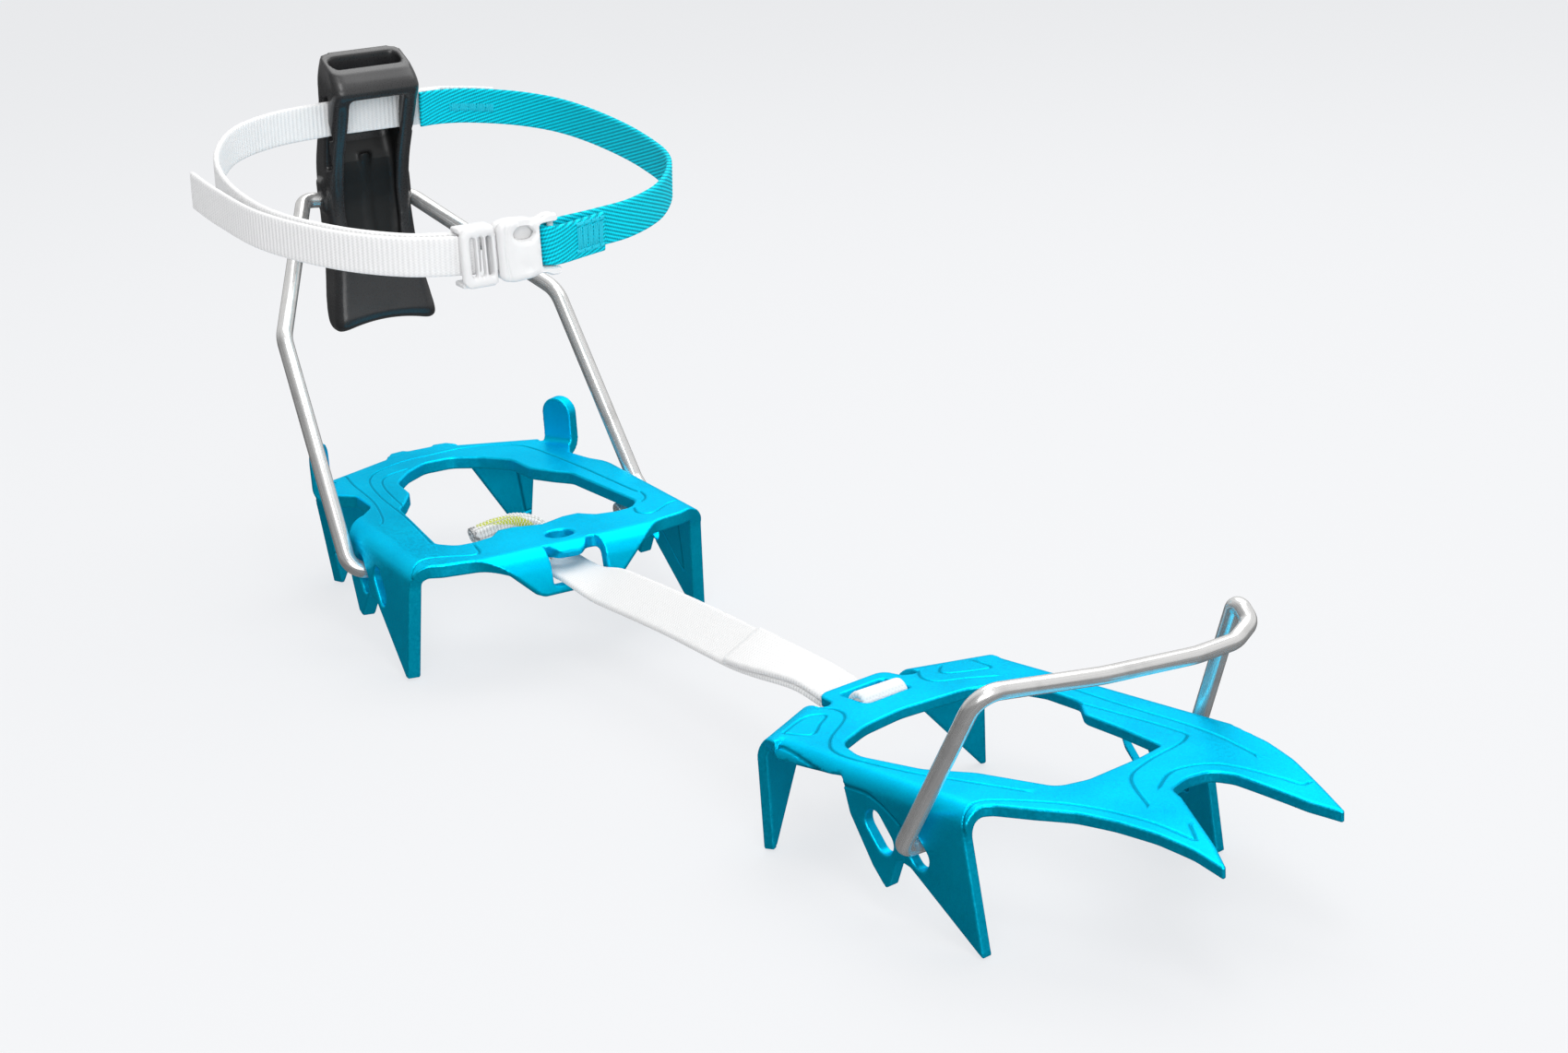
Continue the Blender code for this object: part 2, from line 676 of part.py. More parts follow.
def heel_lever(group, tools, mat):
    """Plastic lever: hollow, open at the top and front, with a strap tunnel and wire bore."""
    body = loft("heel_lever", LEVER, 2.6, group, 5.0)
    body.data.materials.append(mat)
    wall = 2.6
    hollow = [(z, back + wall, front - wall, 9.4) for z, back, front, half in LEVER[3:]]
    hollow[0] = (77.0, *hollow[0][1:])
    hollow.append((150.0, -113.0, -106.4, 9.4))
    cut(body, loft("lever_shaft", hollow, 1.6, tools))
    front = [(z, edge - 5.0, edge + 6.0, 7.8) for z, back, edge, half in LEVER[3:9]]
    cut(body, loft("lever_window", front, 0.3, tools))
    cut(body, box("lever_tunnel", (5.0, 40, 12.6), (-114.4, LEVER_Y, 124.2), tools, 1.0))
    start = Vector(CROSS_NEAR)
    run = Vector(CROSS_FAR) - start
    cut(body, wire("lever_bore", [start - run * 0.2, start + run * 1.2], HEEL_WIRE + 0.7,
                   tools, None, CROSS, 24))
    return body


# --------------------------------------------------------------------- straps

def loop_height(x):
    """The ankle loop sinks a little from the lever to the buckle."""
    return 124.2 - LOOP_SLOPE * (x + 114.4)


def loop_frames(path, tilt=0.0):
    """Side and up directions for a strap standing on edge."""
    frames = []
    for i in range(len(path)):
        ahead = (path[min(i + 1, len(path) - 1)] - path[max(i - 1, 0)]).normalized()
        up = Vector((LOOP_SLOPE * 1.0, 0, 1)).normalized()
        up = (up - ahead * up.dot(ahead)).normalized()
        frames.append((ahead.cross(up).normalized(), up))
    return frames


def on_loop(points):
    """Plan points lifted onto the loop's sloping plane."""
    return [(x, y, loop_height(x)) for x, y in points]


def ankle_webbing(group, mat):
    """White webbing: lever, outer side of the ankle, ladder bar and free tail."""
    run = [(-113.6, 24.0), (-114.4, 3.0), (-114.2, -11.0), (-111.0, -27.0), (-101.0, -41.0),
           (-80.0, -52.0), (-55.0, -56.5), (-30.0, -54.5), (-10.0, -45.0), (3.0, -33.0),
           (8.0, -22.6)]
    turn = [(9.4, -18.2), (11.0, -17.4), (12.0, -19.6)]
    tail = [(6.2, -33.6), (-7.6, -47.0), (-29.0, -57.4), (-52.0, -61.0), (-69.0, -62.0)]
    path = smooth_path(on_loop(run + turn + tail))
    return sweep("ankle_webbing", path, loop_frames(path), band_section(STRAP_W, STRAP_T),
                 group, mat, CROSS)


def ankle_elastic(group, mat):
    """Teal elastic: lever, inner side of the ankle, buckle bar and folded end."""
    run = [(-111.2, 17.4), (-111.2, 24.0), (-108.0, 32.0), (-99.0, 42.5), (-86.0, 50.0),
           (-67.0, 54.0), (-45.0, 55.0), (-24.0, 52.0), (-6.0, 41.0), (4.0, 28.0),
           (7.6, 16.0), (9.4, 5.5)]
    turn = [(10.6, 0.9), (12.7, -1.1), (14.8, 0.1), (15.0, 3.5)]
    back = [(12.8, 10.5), (11.0, 16.5)]
    path = smooth_path(on_loop(run + turn + back))
    return sweep("ankle_elastic", path, loop_frames(path), band_section(STRAP_W, STRAP_T),
                 group, mat, CROSS)


def buckle_socket(group, tools, mat):
    """Female half: a flat shell with a window and a bar for the elastic."""
    x = 12.8
    z = loop_height(x)
    body = box("buckle_socket", (6.4, 16.2, 15.6), (x, -5.3, z), group, 1.8, 3)
    body.data.materials.append(mat)
    body.data.shade_smooth()
    cut(body, box("socket_mouth", (3.4, 9.0, 10.6), (x, -11.3, z), tools))
    cut(body, box("socket_eye", (6.0, 4.4, 6.4), (x + 3.4, -8.4, z), tools, 0.8))
    cut(body, box("socket_slit", (12.0, 4.2, STRAP_W + 1.8), (x, -0.8, z), tools))
    for offset in (-4.0, 4.0):
        cut(body, box("socket_step", (6.4, 5.4, STRAP_W + 1.8), (x + offset * 0.96, 1.1, z), tools))
    return body


def buckle_clip(group, tools, mat):
    """Male half: ladder lock frame with a tongue that enters the socket."""
    z = loop_height(12.0)
    body = box("buckle_clip", (7.2, 9.0, 15.0), (11.4, -18.1, z - 0.5), group, 1.6, 3)
    body.data.materials.append(mat)
    body.data.shade_smooth()
    cut(body, box("clip_channel", (6.8, 8.0, STRAP_W + 1.8), (10.4, -19.6, z), tools, 0.3))
    return body


def link_strap(group, mat):
    """Flat white link from the heel window to the toe ring, its end folded back."""
    end = toe_world((-68.6, 0.0, 24.0))
    under = toe_world((-77.0, 0.0, 22.4))
    far = toe_world((-90.0, 0.0, 26.2))
    mid = toe_world((-109.0, 0.0, 26.8))
    points = [(2.0, 0.0, 23.2), (13.5, 0.4, 23.2), (30.0, 2.0, 23.6), (60.0, 6.0, 23.6),
              tuple(mid - Vector((0, 0, 2.2))), tuple(far - Vector((0, 0, 2.2))),
              tuple(under - Vector((0, 0, 0.4))), tuple(end - Vector((0, 0, 0.6)))]
    path = smooth_path(points)
    frames = []
    for i in range(len(path)):
        ahead = (path[min(i + 1, len(path) - 1)] - path[max(i - 1, 0)]).normalized()
        share = min(1.0, max(0.0, path[i].x / TOE_PLACE[0]))
        side = Vector((-math.sin(TOE_YAW * share), math.cos(TOE_YAW * share), 0))
        side = (side - ahead * side.dot(ahead)).normalized()
        up = ahead.cross(side).normalized()
        free = max(0.0, min(1.0, (path[i].x - 14.0) / 18.0, (120.0 - path[i].x) / 32.0))
        tilt = math.radians(28) * free * free * (3 - 2 * free)
        side = side * math.cos(tilt) + up * math.sin(tilt)
        frames.append((ahead.cross(side).normalized(), side))
    return sweep("link_strap", path, frames, band_section(12.2, 1.8), group, mat,
                 (13.5, 0, 23.2))


def link_cord(group, mat):
    """Short cord that locks the link under the heel cross bar."""
    path = smooth_path([(-15.4, -16.4, 28.6), (-15.6, -9.6, 29.8), (-16.4, -3.2, 29.8),
                        (-15.4, 2.2, 27.8), (-11.4, 3.4, 24.3), (-3.0, 1.6, 23.4)])
    return wire("link_cord", path, 4.4, group, mat, (-10, 0, 25), 12)


def main():
    clear_scene()
    parts = collection("crampon")
    tools = collection("cutters")
    teal = material("anodised_teal", (0.0, 0.36, 0.58), 0.42, 0.35)
    teal_toe = material("anodised_teal_toe", (0.0, 0.36, 0.58), 0.42, 0.35)
    steel = material("heel_wire_steel", (0.62, 0.61, 0.60), 0.28, 1.0)
    steel_toe = material("toe_wire_steel", (0.66, 0.65, 0.63), 0.22, 1.0)
    black = material("lever_plastic", (0.022, 0.022, 0.024), 0.3)
    white = material("white_webbing", (0.86, 0.86, 0.86), 0.85)
    link = material("link_webbing", (0.84, 0.84, 0.84), 0.85)
    elastic = material("teal_elastic", (0.0, 0.33, 0.52), 0.8)
    shell = material("buckle_plastic", (0.86, 0.86, 0.86), 0.4)
    clip = material("clip_plastic", (0.86, 0.86, 0.86), 0.4)
    cord = material("cord_white", (0.82, 0.82, 0.8), 0.8)
    heel_frame(parts, teal)
    toe_frame(parts, teal_toe)
    heel_bail(parts, steel)
    toe_bail(parts, steel_toe)
    heel_lever(parts, tools, black)
    ankle_webbing(parts, white)
    ankle_elastic(parts, elastic)
    buckle_socket(parts, tools, shell)
    buckle_clip(parts, tools, clip)
    link_strap(parts, link)
    link_cord(parts, cord)


main()
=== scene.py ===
"""Looks of the crampon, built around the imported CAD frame.

Lengths are millimetres in the CAD's own layout: +X to the toe, +Y to the inner side of the
foot, +Z up.  MM and SHIFT turn them into the row frame's metres.
"""
import math

import bmesh
import bpy
import numpy as np
from mathutils import Matrix, Vector
from mathutils.geometry import delaunay_2d_cdt
from mathutils.kdtree import KDTree


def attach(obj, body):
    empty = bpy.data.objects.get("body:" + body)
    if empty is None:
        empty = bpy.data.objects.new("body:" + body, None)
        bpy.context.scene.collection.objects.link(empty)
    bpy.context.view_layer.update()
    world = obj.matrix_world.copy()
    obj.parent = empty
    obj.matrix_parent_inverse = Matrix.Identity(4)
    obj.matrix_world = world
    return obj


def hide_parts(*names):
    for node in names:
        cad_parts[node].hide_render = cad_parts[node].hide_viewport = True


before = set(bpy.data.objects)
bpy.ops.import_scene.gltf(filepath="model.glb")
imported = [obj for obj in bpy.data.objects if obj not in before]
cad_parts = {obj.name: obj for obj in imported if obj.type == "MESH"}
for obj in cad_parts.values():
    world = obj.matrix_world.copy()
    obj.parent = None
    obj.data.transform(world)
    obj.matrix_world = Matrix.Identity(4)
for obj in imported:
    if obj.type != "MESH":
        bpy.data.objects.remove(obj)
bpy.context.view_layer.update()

MM = 0.001
SHIFT = Vector((-59.63, -1.34, 0.0))
HEEL_PLATE, TOE_PLATE = 3.5, 2.5
SIDE_INNER, REAR_INNER = 1.9, 3.6
HEEL_TOP, HEEL_HALF, HEEL_REAR_REACH = 30.9, 41.0, 91.2
HEEL_FOOT = {-1: 7.6, 1: 11.0}
HEEL_SPLAY = {-1: math.radians(4.5), 1: math.radians(3)}
POST_REACH, POST_HALF, POST_TOP = 69.6, 4.8, 43.8
POST_RUN = {-1: -45.2, 1: -45.8}
APRON_START, APRON_ANGLE = 9.0, math.radians(80)
TOE_TOP, TOE_HALF, TOE_REAR_REACH = 30.4, 34.0, 77.2
TOE_PLACE = (204.0, 28.2)
TOE_YAW = math.radians(10.8)
TOE_PITCH, POINT_DROP = 0.048, 4.3
REAR_SKEW, POST_SKEW = math.radians(25), math.radians(30)
HEEL_WIRE, TOE_WIRE, HOLE_SLACK = 4.4, 3.6, 1.3
HEEL_HOLE = {-1: (-31.0, 20.3), 1: (-35.0, 20.3)}
TOE_HOLE = {-1: (-20.0, 17.9), 1: (-12.0, 17.2)}
KNEE = (-78.0, 40.2, 73.6)
CROSS_NEAR, CROSS_FAR = (-127.0, -14.6, 100.0), (-126.2, 17.6, 97.0)
LEVER_Y = 3.2
STRAP_W, STRAP_T, LOOP_SLOPE = 10.0, 1.6, 0.128
LINK_W, LINK_TILT = 12.2, math.radians(28)
TWILL_LEAN, TWILL_PITCH = -2.6, 2.6
WEB_PITCH = 1.26

VIEW_TURN, VIEW_RISE, VIEW_ROLL = math.radians(62.35), math.radians(18.33), math.radians(-3.6)
VIEW_PLACE, VIEW_LENS, FILM = (598.6, -246.5, 241.5), 60.732, 36
ROOM_LOW, ROOM_WALL, ROOM_HIGH = 0.10, 0.75, 0.85
FLAGS = (((0.0, -1.0, 0.0), 0.3, 0.8, 0.3), ((0.93, -0.36, 0.0), 0.45, 0.9, 1.15))
FLOOR_BASE, FLOOR_GLOW = (0.16, 0.161, 0.163), (0.69, 0.697, 0.712)
KEY, FRONT, TOP = 4.4, 3.8, 1.6


# ------------------------------------------------------------------ camera, light, floor

def camera():
    """Camera fitted to the photograph's view."""
    flat = math.cos(VIEW_RISE)
    back = Vector((math.sin(VIEW_TURN) * flat, -math.cos(VIEW_TURN) * flat, math.sin(VIEW_RISE)))
    right = (-back).cross(Vector((0, 0, 1))).normalized()
    up = right.cross(-back)
    across = math.cos(VIEW_ROLL) * right + math.sin(VIEW_ROLL) * up
    above = -math.sin(VIEW_ROLL) * right + math.cos(VIEW_ROLL) * up
    data = bpy.data.cameras.new("view")
    data.lens, data.sensor_width, data.clip_start = VIEW_LENS, FILM, 0.01
    item = bpy.data.objects.new("view", data)
    bpy.context.scene.collection.objects.link(item)
    turned = Matrix((across, above, back)).transposed().to_4x4()
    item.matrix_world = Matrix.Translation((Vector(VIEW_PLACE) + SHIFT) * MM) @ turned
    bpy.context.scene.camera = item


def area(name, place, aim, size, power):
    """Soft box aimed at a point."""
    data = bpy.data.lights.new(name, "AREA")
    data.shape = "RECTANGLE"
    data.size, data.size_y = size
    data.energy = power
    item = bpy.data.objects.new(name, data)
    bpy.context.scene.collection.objects.link(item)
    item.location = place
    item.rotation_euler = (Vector(aim) - Vector(place)).to_track_quat("-Z", "Y").to_euler()


def node(tree, kind, inputs=(), **settings):
    """Add a node, set its properties and fill its inputs with values or links."""
    made = tree.nodes.new(kind)
    for key, value in settings.items():
        setattr(made, key, value)
    for key, value in dict(inputs).items():
        if isinstance(value, bpy.types.NodeSocket):
            tree.links.new(value, made.inputs[key])
        else:
            made.inputs[key].default_value = value
    return made


def studio():
    """Bright room with a darker side behind the camera, and a pale floor."""
    world = bpy.data.worlds.new("room")
    bpy.context.scene.world = world
    world.use_nodes = True
    tree = world.node_tree
    tree.nodes.clear()
    where = node(tree, "ShaderNodeTexCoord").outputs["Generated"]
    level = node(tree, "ShaderNodeSeparateXYZ", {0: where}).outputs["Z"]
    sky = node(tree, "ShaderNodeValToRGB", {0: node(tree, "ShaderNodeMapRange", {
        "Value": level, "From Min": -1.0, "From Max": 1.0}).outputs[0]})
    ramp = sky.color_ramp
    ramp.elements[0].color = (*(ROOM_LOW,) * 3, 1)
    ramp.elements[1].color = (*(ROOM_HIGH,) * 3, 1)
    for spot, value in ((0.46, ROOM_LOW), (0.54, ROOM_WALL)):
        ramp.elements.new(spot).color = (value, value, value, 1)
    both = None
    for aim, start, end, least in FLAGS:
        facing = node(tree, "ShaderNodeVectorMath", {0: where, 1: aim},
                      operation="DOT_PRODUCT").outputs["Value"]
        shade = node(tree, "ShaderNodeMapRange", {"Value": facing, "From Min": start,
                                                  "From Max": end, "To Min": 1.0,
                                                  "To Max": least}).outputs[0]
        both = node(tree, "ShaderNodeMath", {0: shade, 1: both},
                    operation="MULTIPLY").outputs[0] if both else shade
    glow = node(tree, "ShaderNodeBackground", {"Color": sky.outputs[0], "Strength": both})
    out = node(tree, "ShaderNodeOutputWorld")
    tree.links.new(glow.outputs[0], out.inputs[0])

    mesh = bpy.data.meshes.new("floor")
    reach = 6.0
    mesh.from_pydata([(-reach, -reach, 0), (reach, -reach, 0), (reach, reach, 0),
                      (-reach, reach, 0)], [], [(0, 1, 2, 3)])
    floor = bpy.data.objects.new("floor", mesh)
    bpy.context.scene.collection.objects.link(floor)
    floor.location.z = -0.0004
    mat = bpy.data.materials.new("floor_paint")
    mat.use_nodes = True
    tree = mat.node_tree
    shader = tree.nodes["Principled BSDF"]
    shader.inputs["Base Color"].default_value = (*FLOOR_BASE, 1)
    shader.inputs["Roughness"].default_value = 0.9
    shader.inputs["Specular IOR Level"].default_value = 0.0
    shader.inputs["Emission Color"].default_value = (*FLOOR_GLOW, 1)
    shader.inputs["Emission Strength"].default_value = 1.0
    mesh.materials.append(mat)
    floor.visible_glossy = False
    area("key", (-0.25, 0.35, 0.85), (0, 0, 0.03), (0.9, 0.7), KEY)
    area("top", (0.3, -0.12, 0.8), (-0.02, 0, 0.05), (0.22, 0.4), TOP)
    area("front", (0.85, -0.35, 0.45), (0, 0, 0.05), (0.7, 0.5), FRONT)


# ------------------------------------------------------------------------- node finishes

class Finish:
    """A Principled material grown from a few helpers that all return sockets."""

    def __init__(self, name, rough, metal=0.0):
        self.mat = bpy.data.materials.new(name)
        self.mat.use_nodes = True
        self.tree = self.mat.node_tree
        self.shader = self.tree.nodes["Principled BSDF"]
        self.put("Roughness", rough)
        self.put("Metallic", metal)
        self.coords = self.add("ShaderNodeTexCoord").outputs["Object"]
        self.relief = None

    def add(self, kind, inputs=(), **settings):
        return node(self.tree, kind, inputs, **settings)

    def put(self, name, value):
        if isinstance(value, bpy.types.NodeSocket):
            self.tree.links.new(value, self.shader.inputs[name])
        else:
            self.shader.inputs[name].default_value = value

    def field(self, name):
        return self.add("ShaderNodeAttribute", attribute_name=name).outputs["Fac"]

    def calc(self, operation, a, b=0.0):
        return self.add("ShaderNodeMath", {0: a, 1: b}, operation=operation).outputs[0]

    def times(self, a, b):
        return self.calc("MULTIPLY", a, b)

    def plus(self, a, b):
        return self.calc("ADD", a, b)

    def wave(self, value):
        return self.calc("SINE", value)

    def span(self, value, low, high, start=0.0, end=1.0):
        return self.add("ShaderNodeMapRange", {"Value": value, "From Min": low, "From Max": high,
                                               "To Min": start, "To Max": end}).outputs[0]

    def vector(self, x, y, z=0.0):
        return self.add("ShaderNodeCombineXYZ", {0: x, 1: y, 2: z}).outputs[0]

    def noise(self, scale, detail=2.0, vector=None):
        return self.add("ShaderNodeTexNoise", {"Vector": vector or self.coords, "Scale": scale,
                                               "Detail": detail}).outputs["Fac"]

    def mix(self, share, a, b):
        made = self.add("ShaderNodeMix", data_type="RGBA")
        for spot, value in ((0, share), (6, a), (7, b)):
            if isinstance(value, bpy.types.NodeSocket):
                self.tree.links.new(value, made.inputs[spot])
            else:
                made.inputs[spot].default_value = value if spot == 0 else (*value, 1)
        return made.outputs[2]

    def bump(self, height, strength, distance):
        """Stack bumps: each new one takes the last one's normal."""
        inputs = {"Height": height, "Strength": strength, "Distance": distance * MM}
        if self.relief:
            inputs["Normal"] = self.relief
        self.relief = self.add("ShaderNodeBump", inputs).outputs[0]
        self.put("Normal", self.relief)


def anodised(name, bright, deep):
    """Bead-blasted, teal anodised aluminium, with painted shade and grime darkening its grooves, and
    paler on its rims.
    """
    fin = Finish(name, 0.4, metal=0.85)
    fin.put("Specular IOR Level", 0.08)
    fin.put("Specular Tint", (0.1, 0.85, 1.0, 1))
    cloud = fin.noise(55.0, 3.0)
    grain = fin.noise(3400.0, 2.0)
    speck = fin.noise(1500.0, 4.0)
    tone = fin.mix(fin.span(cloud, 0.35, 0.7), deep, bright)
    tone = fin.mix(fin.times(fin.span(grain, 0.3, 0.7), 0.22), tone,
                   tuple(min(1.0, c * 1.5) for c in bright))
    # Painted shade and grime: the engraved grooves turn towards a quarter of the deep tone.
    tone = fin.mix(fin.times(fin.field("groove"), 0.55), tone, tuple(c * 0.25 for c in deep))
    worn = fin.times(fin.field("rim"), fin.span(speck, 0.45, 0.62))
    tone = fin.mix(fin.times(worn, 0.35), tone,
                   (bright[0] + 0.03, min(1, bright[1] * 1.25), min(1, bright[2] * 1.2)))
    fin.put("Base Color", tone)
    fin.put("Roughness", fin.span(speck, 0.3, 0.7, 0.34, 0.5))
    fin.bump(grain, 0.35, 0.05)
    fin.bump(speck, 0.2, 0.08)
    return fin.mat


def steel(name, level):
    """Drawn stainless wire: fine lines along it, a few scuffs, bright and hard."""
    fin = Finish(name, 0.22, metal=0.75)
    lines = fin.noise(1.0, 3.0, fin.vector(fin.times(fin.field("along"), 0.05),
                                           fin.times(fin.field("across"), 7.0)))
    cloud = fin.noise(160.0, 3.0)
    tone = fin.mix(fin.span(lines, 0.35, 0.65), (level * 0.82,) * 3,
                   (level, level * 0.99, level * 0.975))
    fin.put("Base Color", fin.mix(fin.span(cloud, 0.55, 0.75, 0.0, 0.35), tone, (0.4, 0.39, 0.38)))
    fin.put("Roughness", fin.span(lines, 0.3, 0.7, 0.16, 0.3))
    fin.bump(lines, 0.1, 0.05)
    fin.bump(fin.noise(900.0, 3.0), 0.03, 0.05)
    return fin.mat


def moulded(name, dark, light, rough, grain, coat=0.0, paint_recess_shade=False):
    """Moulded plastic with a faint flow pattern and a fine skin, optionally with painted shade that
    turns inner recesses near black and matt.
    """
    fin = Finish(name, rough)
    fin.put("Coat Weight", coat)
    fin.put("Coat Roughness", 0.12)
    tone = fin.mix(fin.span(fin.noise(90.0, 4.0), 0.3, 0.7), dark, light)
    skin = fin.noise(2600.0, 3.0)
    matt = fin.span(skin, 0.3, 0.7, rough * 0.8, rough * 1.25)
    if paint_recess_shade:
        # Painted shade: the inner field turns the lever's recesses near black and matt.
        tone = fin.mix(fin.field("inner"), tone, (0.003, 0.003, 0.003))
        matt = fin.calc("MAXIMUM", matt, fin.times(fin.field("inner"), 0.55))
    fin.put("Base Color", tone)
    fin.put("Roughness", matt)
    fin.bump(skin, grain, 0.05)
    fin.bump(fin.noise(240.0, 2.0), grain * 0.5, 0.3)
    return fin.mat


def woven(name, low, high, pitch, yarn, strength):
    """Plain ribbed weave: ribs across the strap and yarns along them, with painted shade in the
    weave's low parts and random mottling.
    """
    fin = Finish(name, 0.8)
    fin.put("Sheen Weight", 0.25)
    fin.put("Sheen Roughness", 0.4)
    along, across = fin.field("along"), fin.field("across")
    rib = fin.wave(fin.times(along, math.tau / pitch))
    half = fin.calc("FLOOR", fin.times(along, 2 / pitch))
    yarns = fin.wave(fin.plus(fin.times(across, math.tau / yarn), fin.times(half, math.pi)))
    height = fin.plus(fin.times(rib, 0.3), fin.times(yarns, 0.3))
    height = fin.plus(height, fin.times(fin.noise(2200.0, 4.0), 0.8))
    # Painted shade: the colour follows the weave's height, darker in the rib and yarn hollows; its
    # noise term adds random mottling.
    tone = fin.mix(fin.span(height, -0.3, 0.9), low, high)
    soil = fin.span(fin.noise(70.0, 3.0), 0.55, 0.8, 0.0, 0.25)
    fin.put("Base Color", fin.mix(soil, tone, tuple(c * 0.9 for c in low)))
    fin.bump(height, strength, 0.12)
    return fin.mat


def twill(name, low, high, pitch, lean):
    """Elastic twill: ribs on a slant, cut into stitches, with painted shade darkening its furrows."""
    fin = Finish(name, 0.75)
    fin.put("Specular IOR Level", 0.12)
    along, across = fin.field("along"), fin.field("across")
    rib = fin.wave(fin.times(fin.plus(along, fin.times(across, lean)), math.tau / pitch))
    cross = fin.calc("SUBTRACT", along, fin.times(across, 0.35))
    cut = fin.wave(fin.times(cross, math.tau / 0.62))
    fuzz = fin.span(fin.noise(2600.0, 4.0), 0.2, 0.8, -1, 1)
    height = fin.plus(fin.times(rib, 0.55), fin.times(cut, 0.22))
    height = fin.plus(height, fin.times(fuzz, 0.25))
    # Painted shade: the colour follows the height, dark teal in the furrows of the twill.
    fin.put("Base Color", fin.mix(fin.span(height, -0.75, 0.7), low, high))
    fin.bump(height, 0.6, 0.15)
    return fin.mat


def thread(name, low, high):
    """Sewing thread with a fine twist, darker in its furrows as painted shade."""
    fin = Finish(name, 0.6)
    twist = fin.wave(fin.plus(fin.times(fin.field("along"), 18.0),
                              fin.times(fin.field("across"), 9.0)))
    # Painted shade: the thread is darker in the furrows of its twist.
    fin.put("Base Color", fin.mix(fin.span(twist, -1, 1), low, high))
    fin.bump(twist, 0.5, 0.05)
    return fin.mat


def braid(name):
    """White braided cord with a lime tracer, painted shade between its braid cells, and a grey, fused
    end.
    """
    fin = Finish(name, 0.7)
    fin.put("Sheen Weight", 0.2)
    along, around = fin.field("along"), fin.field("across")
    ahead, turned = fin.times(along, 3.4), fin.times(around, 3.0)
    cell = fin.times(fin.wave(fin.plus(ahead, turned)),
                     fin.wave(fin.calc("SUBTRACT", ahead, turned)))
    strand = fin.wave(fin.times(fin.plus(along, around), 14.0))
    height = fin.plus(cell, fin.times(strand, 0.3))
    # Painted shade: the braid's colour follows its height, grey in the hollows between cells.
    tone = fin.mix(fin.span(height, -1.0, 0.8), (0.45, 0.45, 0.44), (0.9, 0.9, 0.88))
    helix = fin.wave(fin.calc("SUBTRACT", fin.times(along, 0.16), around))
    lime = fin.times(fin.span(helix, 0.72, 0.84), fin.span(fin.calc("ABSOLUTE", cell), 0.05, 0.3))
    tone = fin.mix(fin.times(lime, fin.span(along, 2.6, 3.0)), tone, (0.46, 0.52, 0.02))
    knit = fin.mix(fin.span(fin.noise(900.0, 2.0), 0.4, 0.6), (0.2,) * 3, (0.7,) * 3)
    fin.put("Base Color", fin.mix(fin.span(along, 2.4, 2.0), tone, knit))
    fin.bump(height, 0.7, 0.15)
    return fin.mat


# ------------------------------------------------------------------------ sheet-metal plates

def rounded(corners, step=0.14, least=0.35):
    """Turn (x, y, radius) corners into an outline with filleted corners."""
    outline = []
    count = len(corners)
    for i in range(count):
        here = Vector(corners[i][:2])
        radius = corners[i][2]
        back = Vector(corners[i - 1][:2]) - here
        ahead = Vector(corners[(i + 1) % count][:2]) - here
        if radius <= 0 or back.length < 1e-6 or ahead.length < 1e-6:
            outline.append(here)
            continue
        angle = back.angle(ahead)
        if angle > math.pi - 0.05:
            outline.append(here)
            continue
        reach = min(radius / math.tan(angle / 2), 0.48 * back.length, 0.48 * ahead.length)
        radius = reach * math.tan(angle / 2)
        start = here + back.normalized() * reach
        end = here + ahead.normalized() * reach
        middle = (back.normalized() + ahead.normalized()).normalized()
        centre = here + middle * (radius / math.sin(angle / 2))
        sweep = math.pi - angle
        pieces = max(2, min(round(sweep / step), round(sweep * radius / least)))
        first = start - centre
        sign = 1 if first.x * (end - centre).y - first.y * (end - centre).x > 0 else -1
        for k in range(pieces + 1):
            turn = sign * sweep * k / pieces
            cos, sin = math.cos(turn), math.sin(turn)
            outline.append(centre + Vector((first.x * cos - first.y * sin,
                                            first.x * sin + first.y * cos)))
    return outline


def slot(centre, half_run, width, lean):
    """Outline of a slot with round ends."""
    points = []
    for end in (1, -1):
        for k in range(17):
            turn = lean + (0 if end > 0 else math.pi) - math.pi / 2 + math.pi * k / 16
            points.append(Vector(centre) + half_run * end * Vector((math.cos(lean), math.sin(lean)))
                          + width / 2 * Vector((math.cos(turn), math.sin(turn))))
    return points


def divided(line, step, closed=True):
    """Add points so no edge of a line is longer than step; drop doubled points."""
    points = []
    spans = len(line) if closed else len(line) - 1
    for i in range(spans):
        a, b = line[i], line[(i + 1) % len(line)]
        length = (b - a).length
        if length < 0.02:
            continue
        pieces = max(1, math.ceil(length / step))
        points += [a.lerp(b, k / pieces) for k in range(pieces)]
    if not closed:
        points.append(line[-1])
    return points


def curve2(points, pieces=8):
    """Catmull-Rom curve through plan points."""
    return [Vector(p[:2]) for p in smooth_path([(*p, 0) for p in points], pieces)]


def within(points, loops):
    """Even-odd test of many points against all loops together."""
    hit = np.zeros(len(points), bool)
    px, py = points[:, 0], points[:, 1]
    for loop in loops:
        ring = np.array([tuple(p) for p in loop])
        last = np.roll(ring, 1, axis=0)
        for (ax, ay), (bx, by) in zip(last, ring):
            if ay == by:
                continue
            band = (ay > py) != (by > py)
            hit ^= band & (px < (bx - ax) * (py - ay) / (by - ay) + ax)
    return hit


def tree_of(lines, closed, step=0.1):
    """Search tree over finely divided lines."""
    spots = [p for line in lines for p in divided(line, step, closed)]
    found = KDTree(max(1, len(spots)))
    for i, spot in enumerate(spots):
        found.insert((*spot, 0), i)
    found.balance()
    return found if spots else None


def distance(found, point):
    return found.find((point.x, point.y, 0))[2] if found else 1e3


def normals(loop, inward):
    """Averaged inward normals of a closed loop."""
    turned = sum(a.x * b.y - a.y * b.x for a, b in zip(loop, loop[1:] + loop[:1])) > 0
    sign = 1 if turned == inward else -1
    found = []
    for i, here in enumerate(loop):
        ahead = (loop[(i + 1) % len(loop)] - loop[i - 1]).normalized()
        found.append(Vector((-ahead.y, ahead.x)) * sign)
    return found


